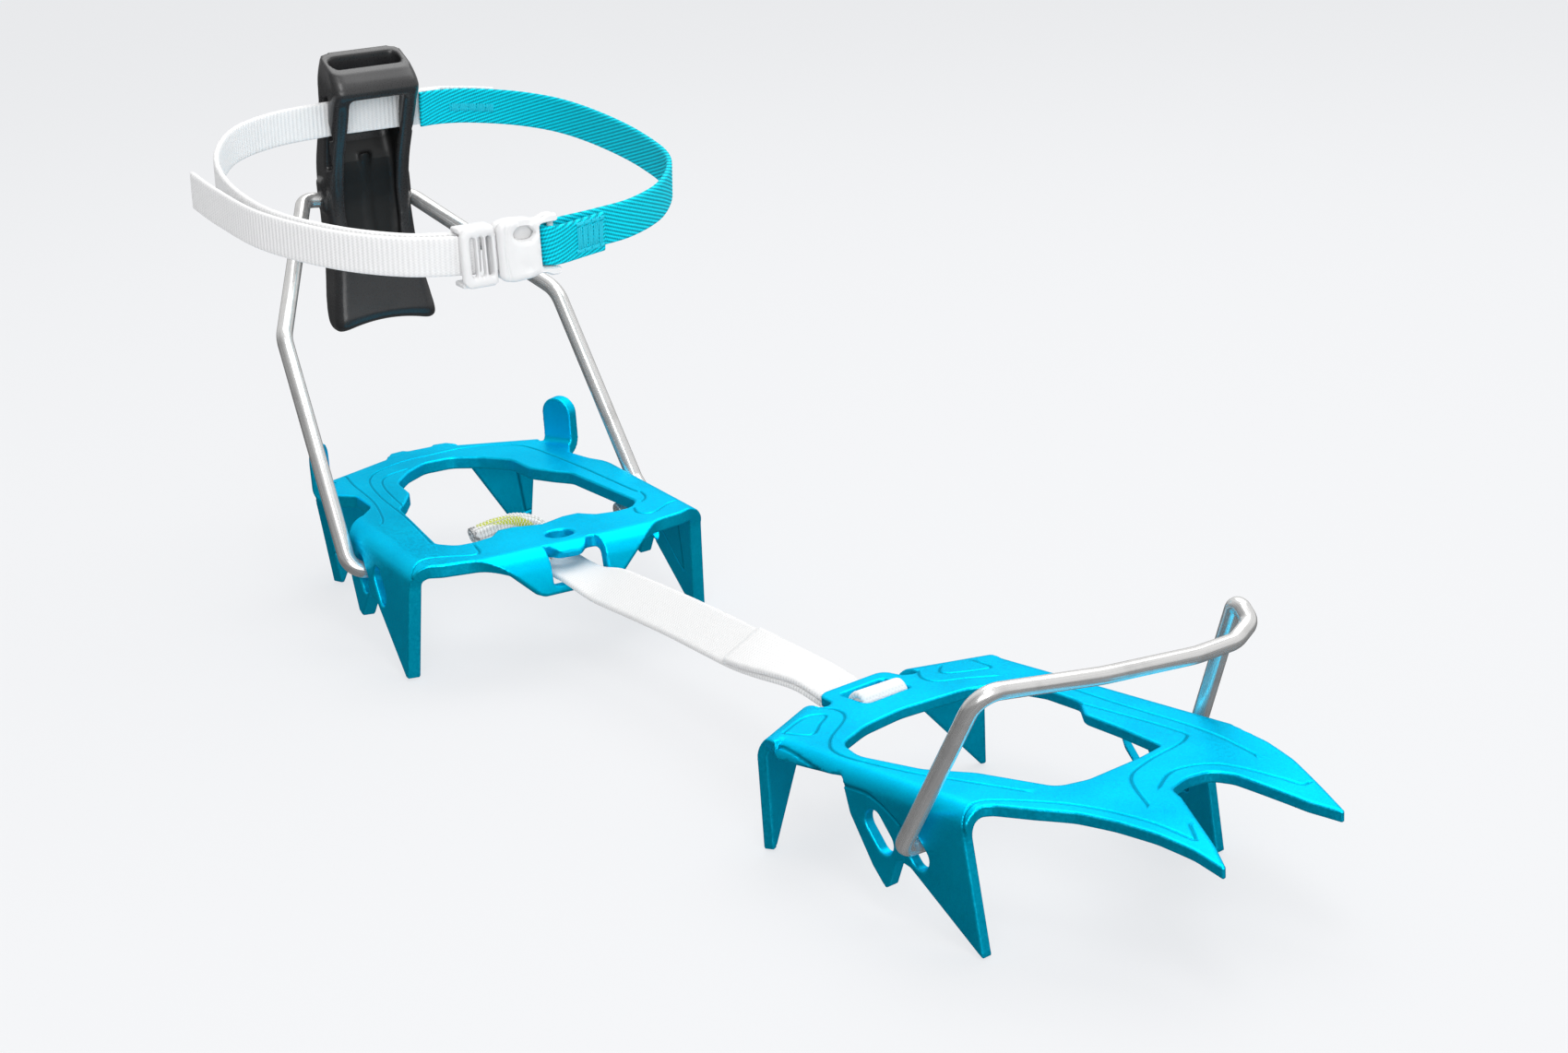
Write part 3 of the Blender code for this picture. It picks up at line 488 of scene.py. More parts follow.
class Sheet:
    """Flat blank meshed finely along its rims and engraved lines, ready to fold and thicken."""

    def __init__(self, outline, holes, stock, ease, lines=(), under=(), pitch=2.6, width=0.42,
                 depth=0.28, step=0.85):
        self.half, self.ease, self.width, self.depth = stock / 2, ease, width, depth
        loops = [divided(loop, step) for loop in [outline] + list(holes)]
        self.rim = tree_of(loops, True)
        self.lines = tree_of(lines, False)
        self.under = tree_of(under, False)
        points, edges = [], []
        for loop in loops:
            first = len(points)
            points += loop
            edges += [(first + i, first + (i + 1) % len(loop)) for i in range(len(loop))]
        taken = {}
        for spot in points:
            taken.setdefault((round(spot.x), round(spot.y)), []).append(spot)
        offered = []
        for rank, loop in enumerate(loops):
            for away in (ease * 0.3, ease, ease + 0.5):
                offered += [(p + n * away, away * 0.8, 0.16)
                            for p, n in zip(loop, normals(loop, rank == 0))]
        for line in list(lines) + list(under):
            fine = divided(line, 0.6, False)
            for away in (0.0, 0.16, -0.16, width, -width, width + 0.35, -width - 0.35):
                for i, here in enumerate(fine):
                    ahead = (fine[min(i + 1, len(fine) - 1)] - fine[max(i - 1, 0)]).normalized()
                    offered.append((here + Vector((-ahead.y, ahead.x)) * away, 0.2, 0.12))
        low = np.min([tuple(p) for p in loops[0]], axis=0)
        high = np.max([tuple(p) for p in loops[0]], axis=0)
        row = 0
        y = low[1]
        while y < high[1]:
            x = low[0] + (pitch / 2 if row % 2 else 0)
            while x < high[0]:
                offered.append((Vector((x, y)), ease + 0.9, 1.0))
                x += pitch
            y += pitch * 0.87
            row += 1
        mask = within(np.array([tuple(o[0]) for o in offered]), loops)
        for (spot, clear, gap), good in zip(offered, mask):
            if not good or distance(self.rim, spot) < clear:
                continue
            cell = (round(spot.x), round(spot.y))
            reach = range(-1, 2)
            near = (q for i in reach for j in reach for q in taken.get((cell[0] + i, cell[1] + j), ()))
            if any((q - spot).length_squared < gap * gap for q in near):
                continue
            taken.setdefault(cell, []).append(spot)
            points.append(spot)
        verts, _, faces = delaunay_2d_cdt(points, edges, [], 1, 1e-5)[:3]
        middles = np.array([tuple(sum((verts[i] for i in f), Vector((0, 0))) / len(f)) for f in faces])
        mask = within(middles, loops)
        self.flat = bmesh.new()
        made = [self.flat.verts.new((v.x, v.y, 0)) for v in verts]
        for face, good in zip(faces, mask):
            if good:
                self.flat.faces.new([made[i] for i in face])
        for vert in [v for v in self.flat.verts if not v.link_faces]:
            self.flat.verts.remove(vert)

    def score(self, fold, cuts=10):
        """Cut the mesh across one bend so it can curve."""
        def near(face):
            return any(fold.zone(v.co.xy) and fold.reach - 1 < fold.out.dot(v.co.xy)
                       and fold.out.dot(v.co.xy) < fold.reach + fold.arc + 3 for v in face.verts)
        faces = [f for f in self.flat.faces if near(f)]
        geom = faces + list({e for f in faces for e in f.edges}) \
            + list({v for f in faces for v in f.verts})
        for k in range(cuts + 1):
            reach = fold.reach + fold.arc * k / cuts
            geom = bmesh.ops.bisect_plane(self.flat, geom=geom, dist=0.04,
                                          plane_co=(*(fold.out * reach), 0),
                                          plane_no=(*fold.out, 0))["geom"]

    def solid(self, place, dent=None):
        """Thicken: rims eased over, lines engraved; returns a mesh with groove and rim fields."""
        bmesh.ops.triangulate(self.flat, faces=[f for f in self.flat.faces if len(f.verts) > 4])
        built = bmesh.new()
        groove = built.verts.layers.float.new("groove")
        rim = built.verts.layers.float.new("rim")
        made = {}
        ease, half = self.ease, self.half
        border = {v for e in self.flat.edges if len(e.link_faces) == 1 for v in e.verts}
        for vert in self.flat.verts:
            plan = vert.co.xy
            inset = 0.0 if vert in border else distance(self.rim, plan)
            drop = ease - math.sqrt(max(0.0, ease ** 2 - max(0.0, ease - inset) ** 2))
            for top, found in ((True, self.lines), (False, self.under)):
                away = distance(found, plan)
                share = min(1.0, max(0.0, (self.width - away) / (self.width - 0.14)))
                share = share * share * (3 - 2 * share)
                sunk = dent(plan) if dent and top else 0.0
                lift = (half - drop - self.depth * share - sunk) * (1 if top else -1)
                new = built.verts.new(place(plan, lift) * MM)
                new[groove] = share
                new[rim] = max(0.0, 1 - inset / (ease * 1.4))
                made[vert, "top" if top else "low"] = new
            if vert in border:
                for name, side in (("up", 1), ("down", -1)):
                    new = built.verts.new(place(plan, (half - ease - 0.2) * side) * MM)
                    new[rim] = 0.3
                    made[vert, name] = new
        for face in self.flat.faces:
            built.faces.new([made[v, "top"] for v in face.verts])
            built.faces.new([made[v, "low"] for v in reversed(face.verts)])
        for edge in self.flat.edges:
            if len(edge.link_faces) == 1:
                a, b = next((l.vert, l.link_loop_next.vert) for l in edge.link_faces[0].loops
                            if l.edge == edge)
                for high, low in (("top", "up"), ("up", "down"), ("down", "low")):
                    built.faces.new([made[b, high], made[a, high], made[a, low], made[b, low]])
        self.flat.free()
        return built


class Fold:
    """One bend of the blank: a start line, a zone, an angle and a mid radius."""

    def __init__(self, out, surface, stock, inner, zone, angle=math.pi / 2, up=False):
        self.out = Vector(out).normalized()
        self.reach = surface - inner - stock
        radius = inner + stock / 2
        self.zone = zone
        self.angle = angle
        self.radius = radius
        self.arc = angle * radius
        self.up = up

    def place(self, point, lift):
        """Folded position of a blank point lifted off the mid surface."""
        run = self.out.dot(point) - self.reach
        if run <= 0 or not self.zone(point):
            return None
        turn = min(run / self.radius, self.angle)
        rest = max(0.0, run - self.arc)
        side = -1 if self.up else 1
        raised = lift * side
        across = (self.radius + raised) * math.sin(turn) + rest * math.cos(turn)
        down = self.radius - (self.radius + raised) * math.cos(turn) + rest * math.sin(turn)
        flat = point + self.out * (across - run)
        return Vector((flat.x, flat.y, -down * side))


def show(name, built, mat, body, nodes=(), smooth=None):
    """Turn a bmesh into a piece that rides with its body, takes its material and stands for its CAD
    nodes.
    """
    bmesh.ops.recalc_face_normals(built, faces=built.faces)
    mesh = bpy.data.meshes.new(name)
    for vert in built.verts:
        vert.co += SHIFT * MM
    built.to_mesh(mesh)
    built.free()
    mesh.shade_smooth()
    if smooth:
        mesh.set_sharp_from_angle(angle=math.radians(smooth))
    mesh.materials.append(mat)
    item = bpy.data.objects.new(name, mesh)
    bpy.context.scene.collection.objects.link(item)
    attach(item, body)
    if nodes:
        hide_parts(*nodes)


def folded(sheet, folds, shape):
    """Fold a scored sheet with the given bends and place it with shape."""
    for fold in folds:
        sheet.score(fold)

    def place(plan, lift):
        for fold in folds:
            spot = fold.place(plan, lift)
            if spot is not None:
                return shape(spot)
        return shape(Vector((plan.x, plan.y, lift)))
    return sheet.solid(place)


def mirror(points):
    """Same outline on the other side of the foot, run the other way."""
    return [(x, -y, r) for x, y, r in reversed(points)]


def drop_to(z, top, stock, inner=SIDE_INNER):
    """Blank distance past the bend line that lands at height z."""
    middle = inner + stock / 2
    return middle * math.pi / 2 + (top - stock / 2 - middle - z)


def spike_axes(skew, side):
    """Outward and along directions of a rear fold on one side."""
    out = Vector((-math.cos(skew), side * math.sin(skew)))
    along = Vector((-math.sin(skew), -side * math.cos(skew)))
    return out, along


def rear_spike(reach, top, stock, foot, tip, side, inner, outer):
    """Corners of a folded rear spike, from its outer root to its inner root."""
    out, along = spike_axes(REAR_SKEW, side)
    line = reach - REAR_INNER - stock
    corners = []
    for run, z, r in ((foot - outer, top - stock, 2), (foot - 0.6, tip, 0.4),
                      (foot + 0.6, tip, 0.4), (foot + inner, top - stock - 2, 3)):
        spot = out * (line + drop_to(z, top, stock, REAR_INNER)) + along * run
        corners.append((spot.x, spot.y, r))
    return corners


def heel_flank(side):
    """Side flange with its long and short spikes, front to rear."""
    line = HEEL_HALF - SIDE_INNER - HEEL_PLATE
    tip = 1.4 if side < 0 else 0.0
    root = -41.0 if side < 0 else -44.6
    corners = []
    for x, z, r in ((3.2, 25.0, 3), (tip - 0.8, 0.15, 0.4), (tip - 2.0, 0.15, 0.4),
                    (-21.0, 15.0, 3.5), (-26.5, 14.6, 2.5), (-31.5, 7.6, 0.8),
                    (-34.0, 8.4, 0.8), (-39.4, 16.5, 4), (root, 27.0, 5)):
        corners.append((x, side * (line + drop_to(z, HEEL_TOP, HEEL_PLATE)), r))
    return corners


def heel_post(side):
    """Blank of the upturned rear post."""
    out = Vector((-math.sin(POST_SKEW), side * math.cos(POST_SKEW)))
    along = Vector((math.cos(POST_SKEW), side * math.sin(POST_SKEW)))
    start = POST_REACH - SIDE_INNER - HEEL_PLATE
    middle = SIDE_INNER + HEEL_PLATE / 2
    height = middle * math.pi / 2 + POST_TOP - (HEEL_TOP - HEEL_PLATE / 2) - middle
    front = POST_RUN[side] + POST_HALF
    back = POST_RUN[side] - POST_HALF
    corners = []
    for run, far, r in ((front, 1.0, 2.5), (front, height, POST_HALF),
                        (back, height, POST_HALF), (back, 1.0, 3)):
        spot = out * (start + far) + along * run
        corners.append((spot.x, spot.y, r))
    return corners


def heel_half(side):
    """Outline of one side of the heel blank from the front to the rear."""
    apron = [(21.5, side * 10.5, 3.5), (14.6, side * 17.5, 6), (9.6, side * 25.0, 10),
             (7.8, side * 33.5, 4)]
    shape = ((-44.0, 35.4), (-50.0, 30.6), (-61.5, 30.6))
    if side > 0:
        shape = ((-47.0, 37.6), (-52.8, 35.0), (-61.5, 33.0))
    notch = [(x, side * y, r) for (x, y), r in zip(shape, (8, 5, 2.5))]
    corner = [(-80.5, side * 31.2, 2.0)]
    spike = rear_spike(HEEL_REAR_REACH, HEEL_TOP, HEEL_PLATE, HEEL_FOOT[side], 0.0, side,
                       19.0 if side < 0 else 16.0, 4.2)
    rear = [(-91.0, side * 10.4, 1.5), (-94.0, side * 8.6, 1.0), (-94.6, side * 4.4, 1.0),
            (-93.2, side * 3.6, 1.0)]
    return apron + heel_flank(side) + notch + heel_post(side) + corner + spike + rear


def heel_outline():
    """Whole outline of the heel blank."""
    return [(21.5, 0.0, 0)] + heel_half(-1) + list(reversed(heel_half(1)))


def heel_holes():
    """Openings of the heel blank."""
    half = [(-6.6, 0.0, 0), (-9.2, -7.0, 3), (-9.2, -11.4, 1.2), (-7.0, -13.2, 0.9),
            (-5.2, -14.9, 1.2), (-4.0, -20.0, 5), (-4.4, -24.5, 4), (-9.0, -28.2, 4),
            (-43.0, -25.0, 4), (-48.0, -21.5, 5), (-55.0, -17.6, 6), (-66.0, -16.9, 6),
            (-74.0, -10.6, 6), (-79.0, -4.0, 5)]
    opening = rounded(half + mirror(half[1:]))
    window = rounded([(9.2, -7.0, 0.6), (12.4, -3.2, 3), (12.8, 2.8, 2.5), (9.6, 5.2, 1.2),
                      (9.6, 7.6, 2), (12.5, 8.1, 1.5), (19.3, 8.1, 1), (19.3, -7.0, 1),
                      (13.5, -7.0, 2)])
    eye = slot((3.4, 0.5), 0.5, 6.4, math.pi / 2)
    holes = [opening, window, eye]
    for side in (-1, 1):
        for x in (HEEL_HOLE[side][0], HEEL_HOLE[side][0] + 12.5):
            y = HEEL_HALF - SIDE_INNER - HEEL_PLATE
            y += drop_to(HEEL_HOLE[side][1] - 0.7, HEEL_TOP, HEEL_PLATE)
            lean = math.radians(48)
            ends = slot((x + 0.6, y), 2.4, HEEL_WIRE + HOLE_SLACK, lean)
            holes.append([Vector((p.x, p.y * side)) for p in ends])
    return holes


def flank_line(points, side, half, top, stock):
    """Plan line of an engraving given as (x, z) on a side flange."""
    line = half - SIDE_INNER - stock
    return curve2([(x, side * (line + drop_to(z, top, stock))) for x, z in points], 4)


def spike_line(points, side, reach, top, stock):
    """Plan line of an engraving given as (run, z) on a rear spike."""
    out, along = spike_axes(REAR_SKEW, side)
    line = reach - REAR_INNER - stock
    spots = [out * (line + drop_to(z, top, stock, REAR_INNER)) + along * run for run, z in points]
    return divided(spots, 0.8, False)


# Engravings are smooth curves through a few points chosen along each one.
HEEL_LINES = (
    ((-83, -28.5), (-81.5, -26.5), (-72, -27.5), (-54, -28.5), (-39, -31.5), (-34, -33.5)),
    ((-10, -29), (-34, -26.5), (-60, -25), (-76, -21), (-83.5, -10), (-85, 1), (-85, 12),
     (-79, 22.5), (-70, 26.5), (-45, 29.5), (-18.5, 31.5), (-15, 32.5), (-10, 31.5), (-7, 29)),
    ((-44, -23.5), (-64, -21.5), (-73, -18), (-76.5, -10)),
    ((6.5, -42), (1, -36), (2, -31), (5.5, -24.5), (4.5, -22), (0, -21)),
    ((-3.5, 25), (1, 24), (3.5, 27), (-1, 34), (-2, 38), (-1, 40)))
TOE_LINES = (
    ((-62.5, -36), (-62.5, -32.5), (-58.5, -32), (-42.5, -34), (-31, -34.5), (-21.5, -39.5)),
    ((-65, -29), (-59.5, -26), (-63, -20.5), (-66, -16.5), (-68.5, -20), (-65, -29)),
    ((-71.5, -15), (-67, -13), (-61.5, -15), (-54, -25.5), (-46, -29.5), (-29, -27.5),
     (-16.5, -24), (-3, -20)),
    ((-70.5, 14), (-66.5, 11.5), (-62, 12), (-58, 17.5), (-54, 22)),
    ((-68.5, 19), (-66, 16.5), (-63, 18), (-59, 25), (-64, 26)),
    ((-4.5, -36), (-6, -30), (-3, -26), (10, -18.5), (24, -14), (34, -13), (34, -12), (30, -9)),
    ((18.5, 22.5), (1, 25), (-21, 25.5), (-38.5, 26.5)),
    ((-28, 21), (-2.5, 21.5), (3.5, 19), (5.5, 6), (9, -2.5), (19.5, -9)),
    ((15.5, -1.5), (12.5, 6), (16.5, 14), (28.5, 18), (33, 19), (33.5, 21)))


def heel_section(mat):
    """Folded heel plate with engraved lines."""
    stock = HEEL_PLATE
    folds = []
    for side in (-1, 1):
        out = (-math.sin(POST_SKEW), side * math.cos(POST_SKEW))
        along = Vector((math.cos(POST_SKEW), side * math.sin(POST_SKEW)))
        folds.append(Fold(out, POST_REACH, stock, SIDE_INNER,
                          lambda p, s=side, a=along: abs(a.dot(p) - POST_RUN[s]) < 6.4
                          and p.y * s > 27, up=True))
        folds.append(Fold((0, side), HEEL_HALF, stock, SIDE_INNER,
                          lambda p, s=side: p.x > -48 and p.y * s > 30,
                          math.pi / 2 - HEEL_SPLAY[side]))
        out = spike_axes(REAR_SKEW, side)[0]
        folds.append(Fold(out, HEEL_REAR_REACH, stock, REAR_INNER,
                          lambda p, s=side: p.x < -74 and p.y * s > 10.2))
    folds.append(Fold((1, 0), APRON_START + 2.5 + stock, stock, 2.5,
                      lambda p: abs(p.y) < 33, APRON_ANGLE))
    base = HEEL_TOP - stock / 2
    under = []
    for side in (-1, 1):
        foot = HEEL_FOOT[side]
        outer = 19.0 if side < 0 else 16.0
        under.append(spike_line(((foot - outer + 4.6, 24.5), (foot - 2.4, 9.5), (foot + 0.2, 8.6),
                                 (foot + 1.6, 22.5)), side, HEEL_REAR_REACH, HEEL_TOP, stock))
        under.append(flank_line(((-4.2, 25), (-4.0, 12.5), (-5.2, 11.2), (-15.0, 19.5),
                                 (-16.0, 22.0), (-14.0, 25)), side, HEEL_HALF, HEEL_TOP, stock))
    sheet = Sheet(rounded(heel_outline()), heel_holes(), stock, 0.36,
                  [curve2(line) for line in HEEL_LINES], under)
    built = folded(sheet, folds, lambda p: p + Vector((0, 0, base)))
    show("heel_section", built, mat, "heel", ["heel_frame"])


def toe_world(place):
    """Toe-section coordinates to crampon coordinates, still millimetres."""
    cos, sin = math.cos(TOE_YAW), math.sin(TOE_YAW)
    return Vector((TOE_PLACE[0] + cos * place[0] - sin * place[1],
                   TOE_PLACE[1] + sin * place[0] + cos * place[1], place[2]))


def toe_shape(place):
    """Pitch the toe plate, droop its front points and set it in place."""
    z = place.z + TOE_TOP - TOE_PLATE / 2 + TOE_PITCH * place.x
    ahead = max(0.0, place.x - 5.0) / 42.0
    return toe_world((place.x, place.y, z - POINT_DROP * ahead ** 1.6))


def toe_flank(side):
    """Side flange of the toe blank, front to rear; the outer one has a short spike."""
    line = TOE_HALF - SIDE_INNER - TOE_PLATE
    shape = ((-5.0, 24.0, 4), (-0.9, 0.0, 0.3), (-1.5, 0.0, 0.3), (-21.0, 12.6, 2),
             (-24.6, 13.2, 1.5), (-27.4, 6.6, 0.5), (-28.9, 5.6, 0.5),
             (-32.5, 9.4, 3), (-38.8, 19.0, 4), (-40.8, 26.0, 3))
    if side > 0:
        shape = ((-3.0, 24.0, 4), (0.4, 0.0, 0.3), (-0.1, 0.0, 0.3), (-19.0, 9.0, 4),
                 (-25.5, 16.0, 4), (-29.0, 25.0, 4))
    corners = []
    for x, z, r in shape:
        local = z - TOE_PITCH * x
        corners.append((x, side * (line + drop_to(local, TOE_TOP, TOE_PLATE)), r))
    return corners


def toe_rear(side):
    """Rim behind the side flange and the rear spike."""
    rim = [(-44.5, side * 33.2, 3), (-61.0, side * 34.0, 3)]
    if side > 0:
        rim = [(-34.0, side * 32.2, 3), (-60.0, side * 31.4, 3)]
    return rim + rear_spike(TOE_REAR_REACH, TOE_TOP, TOE_PLATE, 1.2, 3.4, side, 19.6, 1.0)


def toe_outline():
    """Whole outline of the toe blank, not quite even from side to side."""
    near_claw = [(46.4, -16.9, 0.5), (37.0, -15.8, 12), (28.5, -16.4, 12), (19.8, -18.4, 12),
                 (12.3, -21.0, 10), (5.5, -25.0, 8), (-3.4, -29.0, 4)]
    far_claw = [(-0.2, 33.5, 3), (6.0, 30.5, 8), (16.5, 29.0, 14), (25.3, 26.4, 16),
                (35.2, 21.9, 16), (45.9, 16.9, 0.5), (38.2, 14.6, 10), (29.3, 13.6, 10),
                (21.5, 12.8, 5), (17.4, 10.6, 4), (16.4, 5.2, 5), (17.6, -0.4, 2.5),
                (21.4, -1.8, 3), (27.6, -5.4, 10), (38.6, -11.6, 10)]
    ring_near = [(-69.5, -14.0, 3), (-71.0, -10.4, 2), (-77.2, -9.4, 3)]
    ring_far = [(-77.2, 9.4, 3), (-71.0, 10.4, 2), (-69.5, 14.0, 3)]
    near = toe_flank(-1) + toe_rear(-1) + ring_near
    far = list(reversed(toe_flank(1)))
    back = list(reversed(toe_rear(1)))
    return near_claw + near + ring_far + back + far + far_claw


def toe_holes():
    """Openings of the toe blank."""
    opening = rounded([(-55.8, -4.0, 12), (-53.6, 12.6, 8), (-49.0, 20.6, 7), (-39.5, 22.6, 6),
                       (-28.6, 21.8, 5), (-22.6, 17.0, 4), (-11.5, 15.8, 5), (2.0, 13.6, 1.2),
                       (2.8, 6.0, 4), (2.8, -8.0, 5), (0.6, -14.2, 4), (-16.9, -18.9, 8),
                       (-26.8, -24.2, 8), (-42.4, -27.4, 8), (-50.6, -25.0, 5),
                       (-54.6, -15.0, 12)])
    ring = rounded([(-73.4, -6.4, 1.2), (-73.4, 6.4, 1.2), (-64.0, 6.4, 1.2),
                    (-64.0, -6.4, 1.2)])
    holes = [opening, ring]
    for side in (-1, 1):
        for x in (TOE_HOLE[side][0], TOE_HOLE[side][0] - 10.4):
            local = TOE_HOLE[side][1] - 0.4 - TOE_PITCH * x
            y = TOE_HALF - SIDE_INNER - TOE_PLATE + drop_to(local, TOE_TOP, TOE_PLATE)
            ends = slot((x + 0.4, y), 2.4, TOE_WIRE + HOLE_SLACK + 0.2, math.radians(50))
            holes.append([Vector((p.x, p.y * side)) for p in ends])
    return holes


def toe_section(mat):
    """Folded toe plate with engraved lines."""
    stock = TOE_PLATE
    folds = []
    for side in (-1, 1):
        folds.append(Fold((0, side), TOE_HALF, stock, SIDE_INNER,
                          lambda p, s=side: -62.5 < p.x < 14 and p.y * s > 25))
        out = spike_axes(REAR_SKEW, side)[0]
        folds.append(Fold(out, TOE_REAR_REACH, stock, REAR_INNER,
                          lambda p, s=side: p.x < -61 and p.y * s > 12.5))
    under = []
    for side in (-1, 1):
        under.append(spike_line(((-13.0, 25.5), (-11.6, 23.0), (-3.0, 12.2), (-1.0, 12.4),
                                 (-1.4, 25.0)), side, TOE_REAR_REACH, TOE_TOP, stock))
        under.append(flank_line(((-8.0, 24), (-7.5, 14.0), (-9.0, 12.2), (-19.0, 18.5),
                                 (-19.5, 24)), side, TOE_HALF, TOE_TOP, stock))
    sheet = Sheet(rounded(toe_outline()), toe_holes(), stock, 0.32,
                  [curve2(line) for line in TOE_LINES], under, width=0.38, depth=0.24)
    built = folded(sheet, folds, toe_shape)
    show("toe_section", built, mat, "toe", ["toe_frame"])


# ----------------------------------------------------------------------------- wires, cord

def soften(points, radii, step=0.1):
    """Round the inner corners of an open polyline in space."""
    path = [Vector(points[0])]
    for i in range(1, len(points) - 1):
        here = Vector(points[i])
        back = Vector(points[i - 1]) - here
        ahead = Vector(points[i + 1]) - here
        angle = back.angle(ahead)
        reach = min(radii[i] / math.tan(angle / 2), 0.49 * back.length, 0.49 * ahead.length)
        start = here + back.normalized() * reach
        end = here + ahead.normalized() * reach
        radius = reach * math.tan(angle / 2)
        centre = here + (back.normalized() + ahead.normalized()).normalized() \
            * (radius / math.sin(angle / 2))
        pieces = max(2, round((math.pi - angle) / step))
        first, last = start - centre, end - centre
        sweep = math.pi - angle
        for k in range(pieces + 1):
            t = k / pieces
            path.append(centre + (first * math.sin((1 - t) * sweep) + last * math.sin(t * sweep))
                        / math.sin(sweep))
    path.append(Vector(points[-1]))
    return path


def smooth_path(points, pieces=4):
    """Catmull-Rom curve through points."""
    last = len(points) - 1
    path = []
    for i in range(last):
        a, b, c, d = (Vector(points[min(max(i + k, 0), last)]) for k in (-1, 0, 1, 2))
        for k in range(pieces):
            t = k / pieces
            path.append(0.5 * (2 * b + (c - a) * t + (2 * a - 5 * b + 4 * c - d) * t * t
                               + (3 * b - a - 3 * c + d) * t ** 3))
    return path + [Vector(points[-1])]


def even(path, step):
    """Points at even steps along a polyline."""
    spots = np.array([tuple(p) for p in path])
    runs = np.concatenate([[0], np.cumsum(np.linalg.norm(np.diff(spots, axis=0), axis=1))])
    count = max(2, round(runs[-1] / step) + 1)
    marks = np.linspace(0, runs[-1], count)
    return [Vector(p) for p in np.stack([np.interp(marks, runs, spots[:, k])
                                         for k in range(3)], 1)], marks


def tube(path, radius, sides=28, relief=None, cap=0.7, built=None):
    """Round body along a path with eased ends, and fields along and across its surface."""
    built = built or bmesh.new()
    fields = [built.verts.layers.float.get(n) or built.verts.layers.float.new(n)
              for n in ("along", "across")]
    gone = 0.0
    rings = []
    side = None
    ends = [(cap * (1 - math.cos(t)), 1 - cap / radius * (1 - math.sin(t)))
            for t in (0.0, 0.55, 1.05)]
    stations = [(i, 0.0, 1.0) for i in range(len(path))]
    stations = [(0, a, s) for a, s in ends] + stations[1:-1] \
        + [(len(path) - 1, -a, s) for a, s in reversed(ends)]
    for i, slide, scale in stations:
        ahead = (path[min(i + 1, len(path) - 1)] - path[max(i - 1, 0)]).normalized()
        side = ahead.orthogonal() if side is None else side
        side = (side - ahead * side.dot(ahead)).normalized()
        up = ahead.cross(side)
        spot = path[i] + ahead * slide
        if rings:
            gone += (spot - was).length
        was = spot
        ring = []
        for k in range(sides):
            turn = math.tau * k / sides
            reach = radius * scale + (relief(gone, turn) if relief else 0.0)
            vert = built.verts.new((spot + (side * math.cos(turn) + up * math.sin(turn)) * reach) * MM)
            vert[fields[0]] = gone
            vert[fields[1]] = turn * radius if relief is None else turn
            ring.append(vert)
        rings.append(ring)
    for a, b in zip(rings, rings[1:]):
        for k in range(sides):
            j = (k + 1) % sides
            built.faces.new([a[k], a[j], b[j], b[k]])
    built.faces.new(list(reversed(rings[0])))
    built.faces.new(rings[-1])
    return built


def stub_ends(near, far, depth):
    """Inner ends of the two wire stubs, both on the line through the two holes."""
    near = Vector(near)
    far = Vector(far)
    run = (far - near).normalized() * depth
    return near + run, far - run


def wires(heel_mat, toe_mat):
    """Both steel bails."""
    near = (HEEL_HOLE[-1][0], -44.4, HEEL_HOLE[-1][1])
    far = (HEEL_HOLE[1][0], 44.0, HEEL_HOLE[1][1])
    inner, outer = stub_ends(near, far, 10.5)
    points = [inner, near, (KNEE[0], -KNEE[1], KNEE[2]), CROSS_NEAR, CROSS_FAR, KNEE,
              (-42.5, 43.6, 25.6), far, outer]
    path = soften(points, [0, 5.5, 9, 3.6, 3.6, 12, 5, 3.8, 0])
    show("heel_wire", tube(path, HEEL_WIRE / 2), heel_mat, "bail",
         ["heel_bail"], 50)
    near = (TOE_HOLE[-1][0], -37.2, TOE_HOLE[-1][1])
    far = (TOE_HOLE[1][0], 37.0, TOE_HOLE[1][1])
    inner, outer = stub_ends(near, far, 9.0)
    points = [inner, near, (3.2, -36.5, 57.0), (6.9, -7.4, 53.0), (8.4, 17.0, 50.4),
              (8.0, 29.0, 49.8), (7.0, 34.6, 52.0), (2.3, 35.8, 55.6), far, outer]
    path = soften([toe_world(p) for p in points], [0, 3.0, 5, 30, 20, 8, 3.0, 3.0, 3.2, 0])
    show("toe_wire", tube(path, TOE_WIRE / 2), toe_mat, "toe_wire",
         ["toe_bail"], 50)


def cord(mat):
    """Short braided cord under the heel section's front bar."""
    path, _ = even(smooth_path([(-15.4, -16.4, 28.6), (-15.6, -9.6, 29.8), (-16.4, -3.2, 29.8),
                                (-15.4, 2.2, 27.8), (-11.4, 3.4, 24.3), (-3.0, 1.6, 23.4)], 12), 0.22)
    built = tube(path, 2.05, 48, lambda s, t: 0.13 * math.sin(3.4 * s + 3 * t)
                 * math.sin(3.4 * s - 3 * t), 0.9)
    show("lock_cord", built, mat, "heel", ["link_cord"])


# ----------------------------------------------------------------------------------- straps

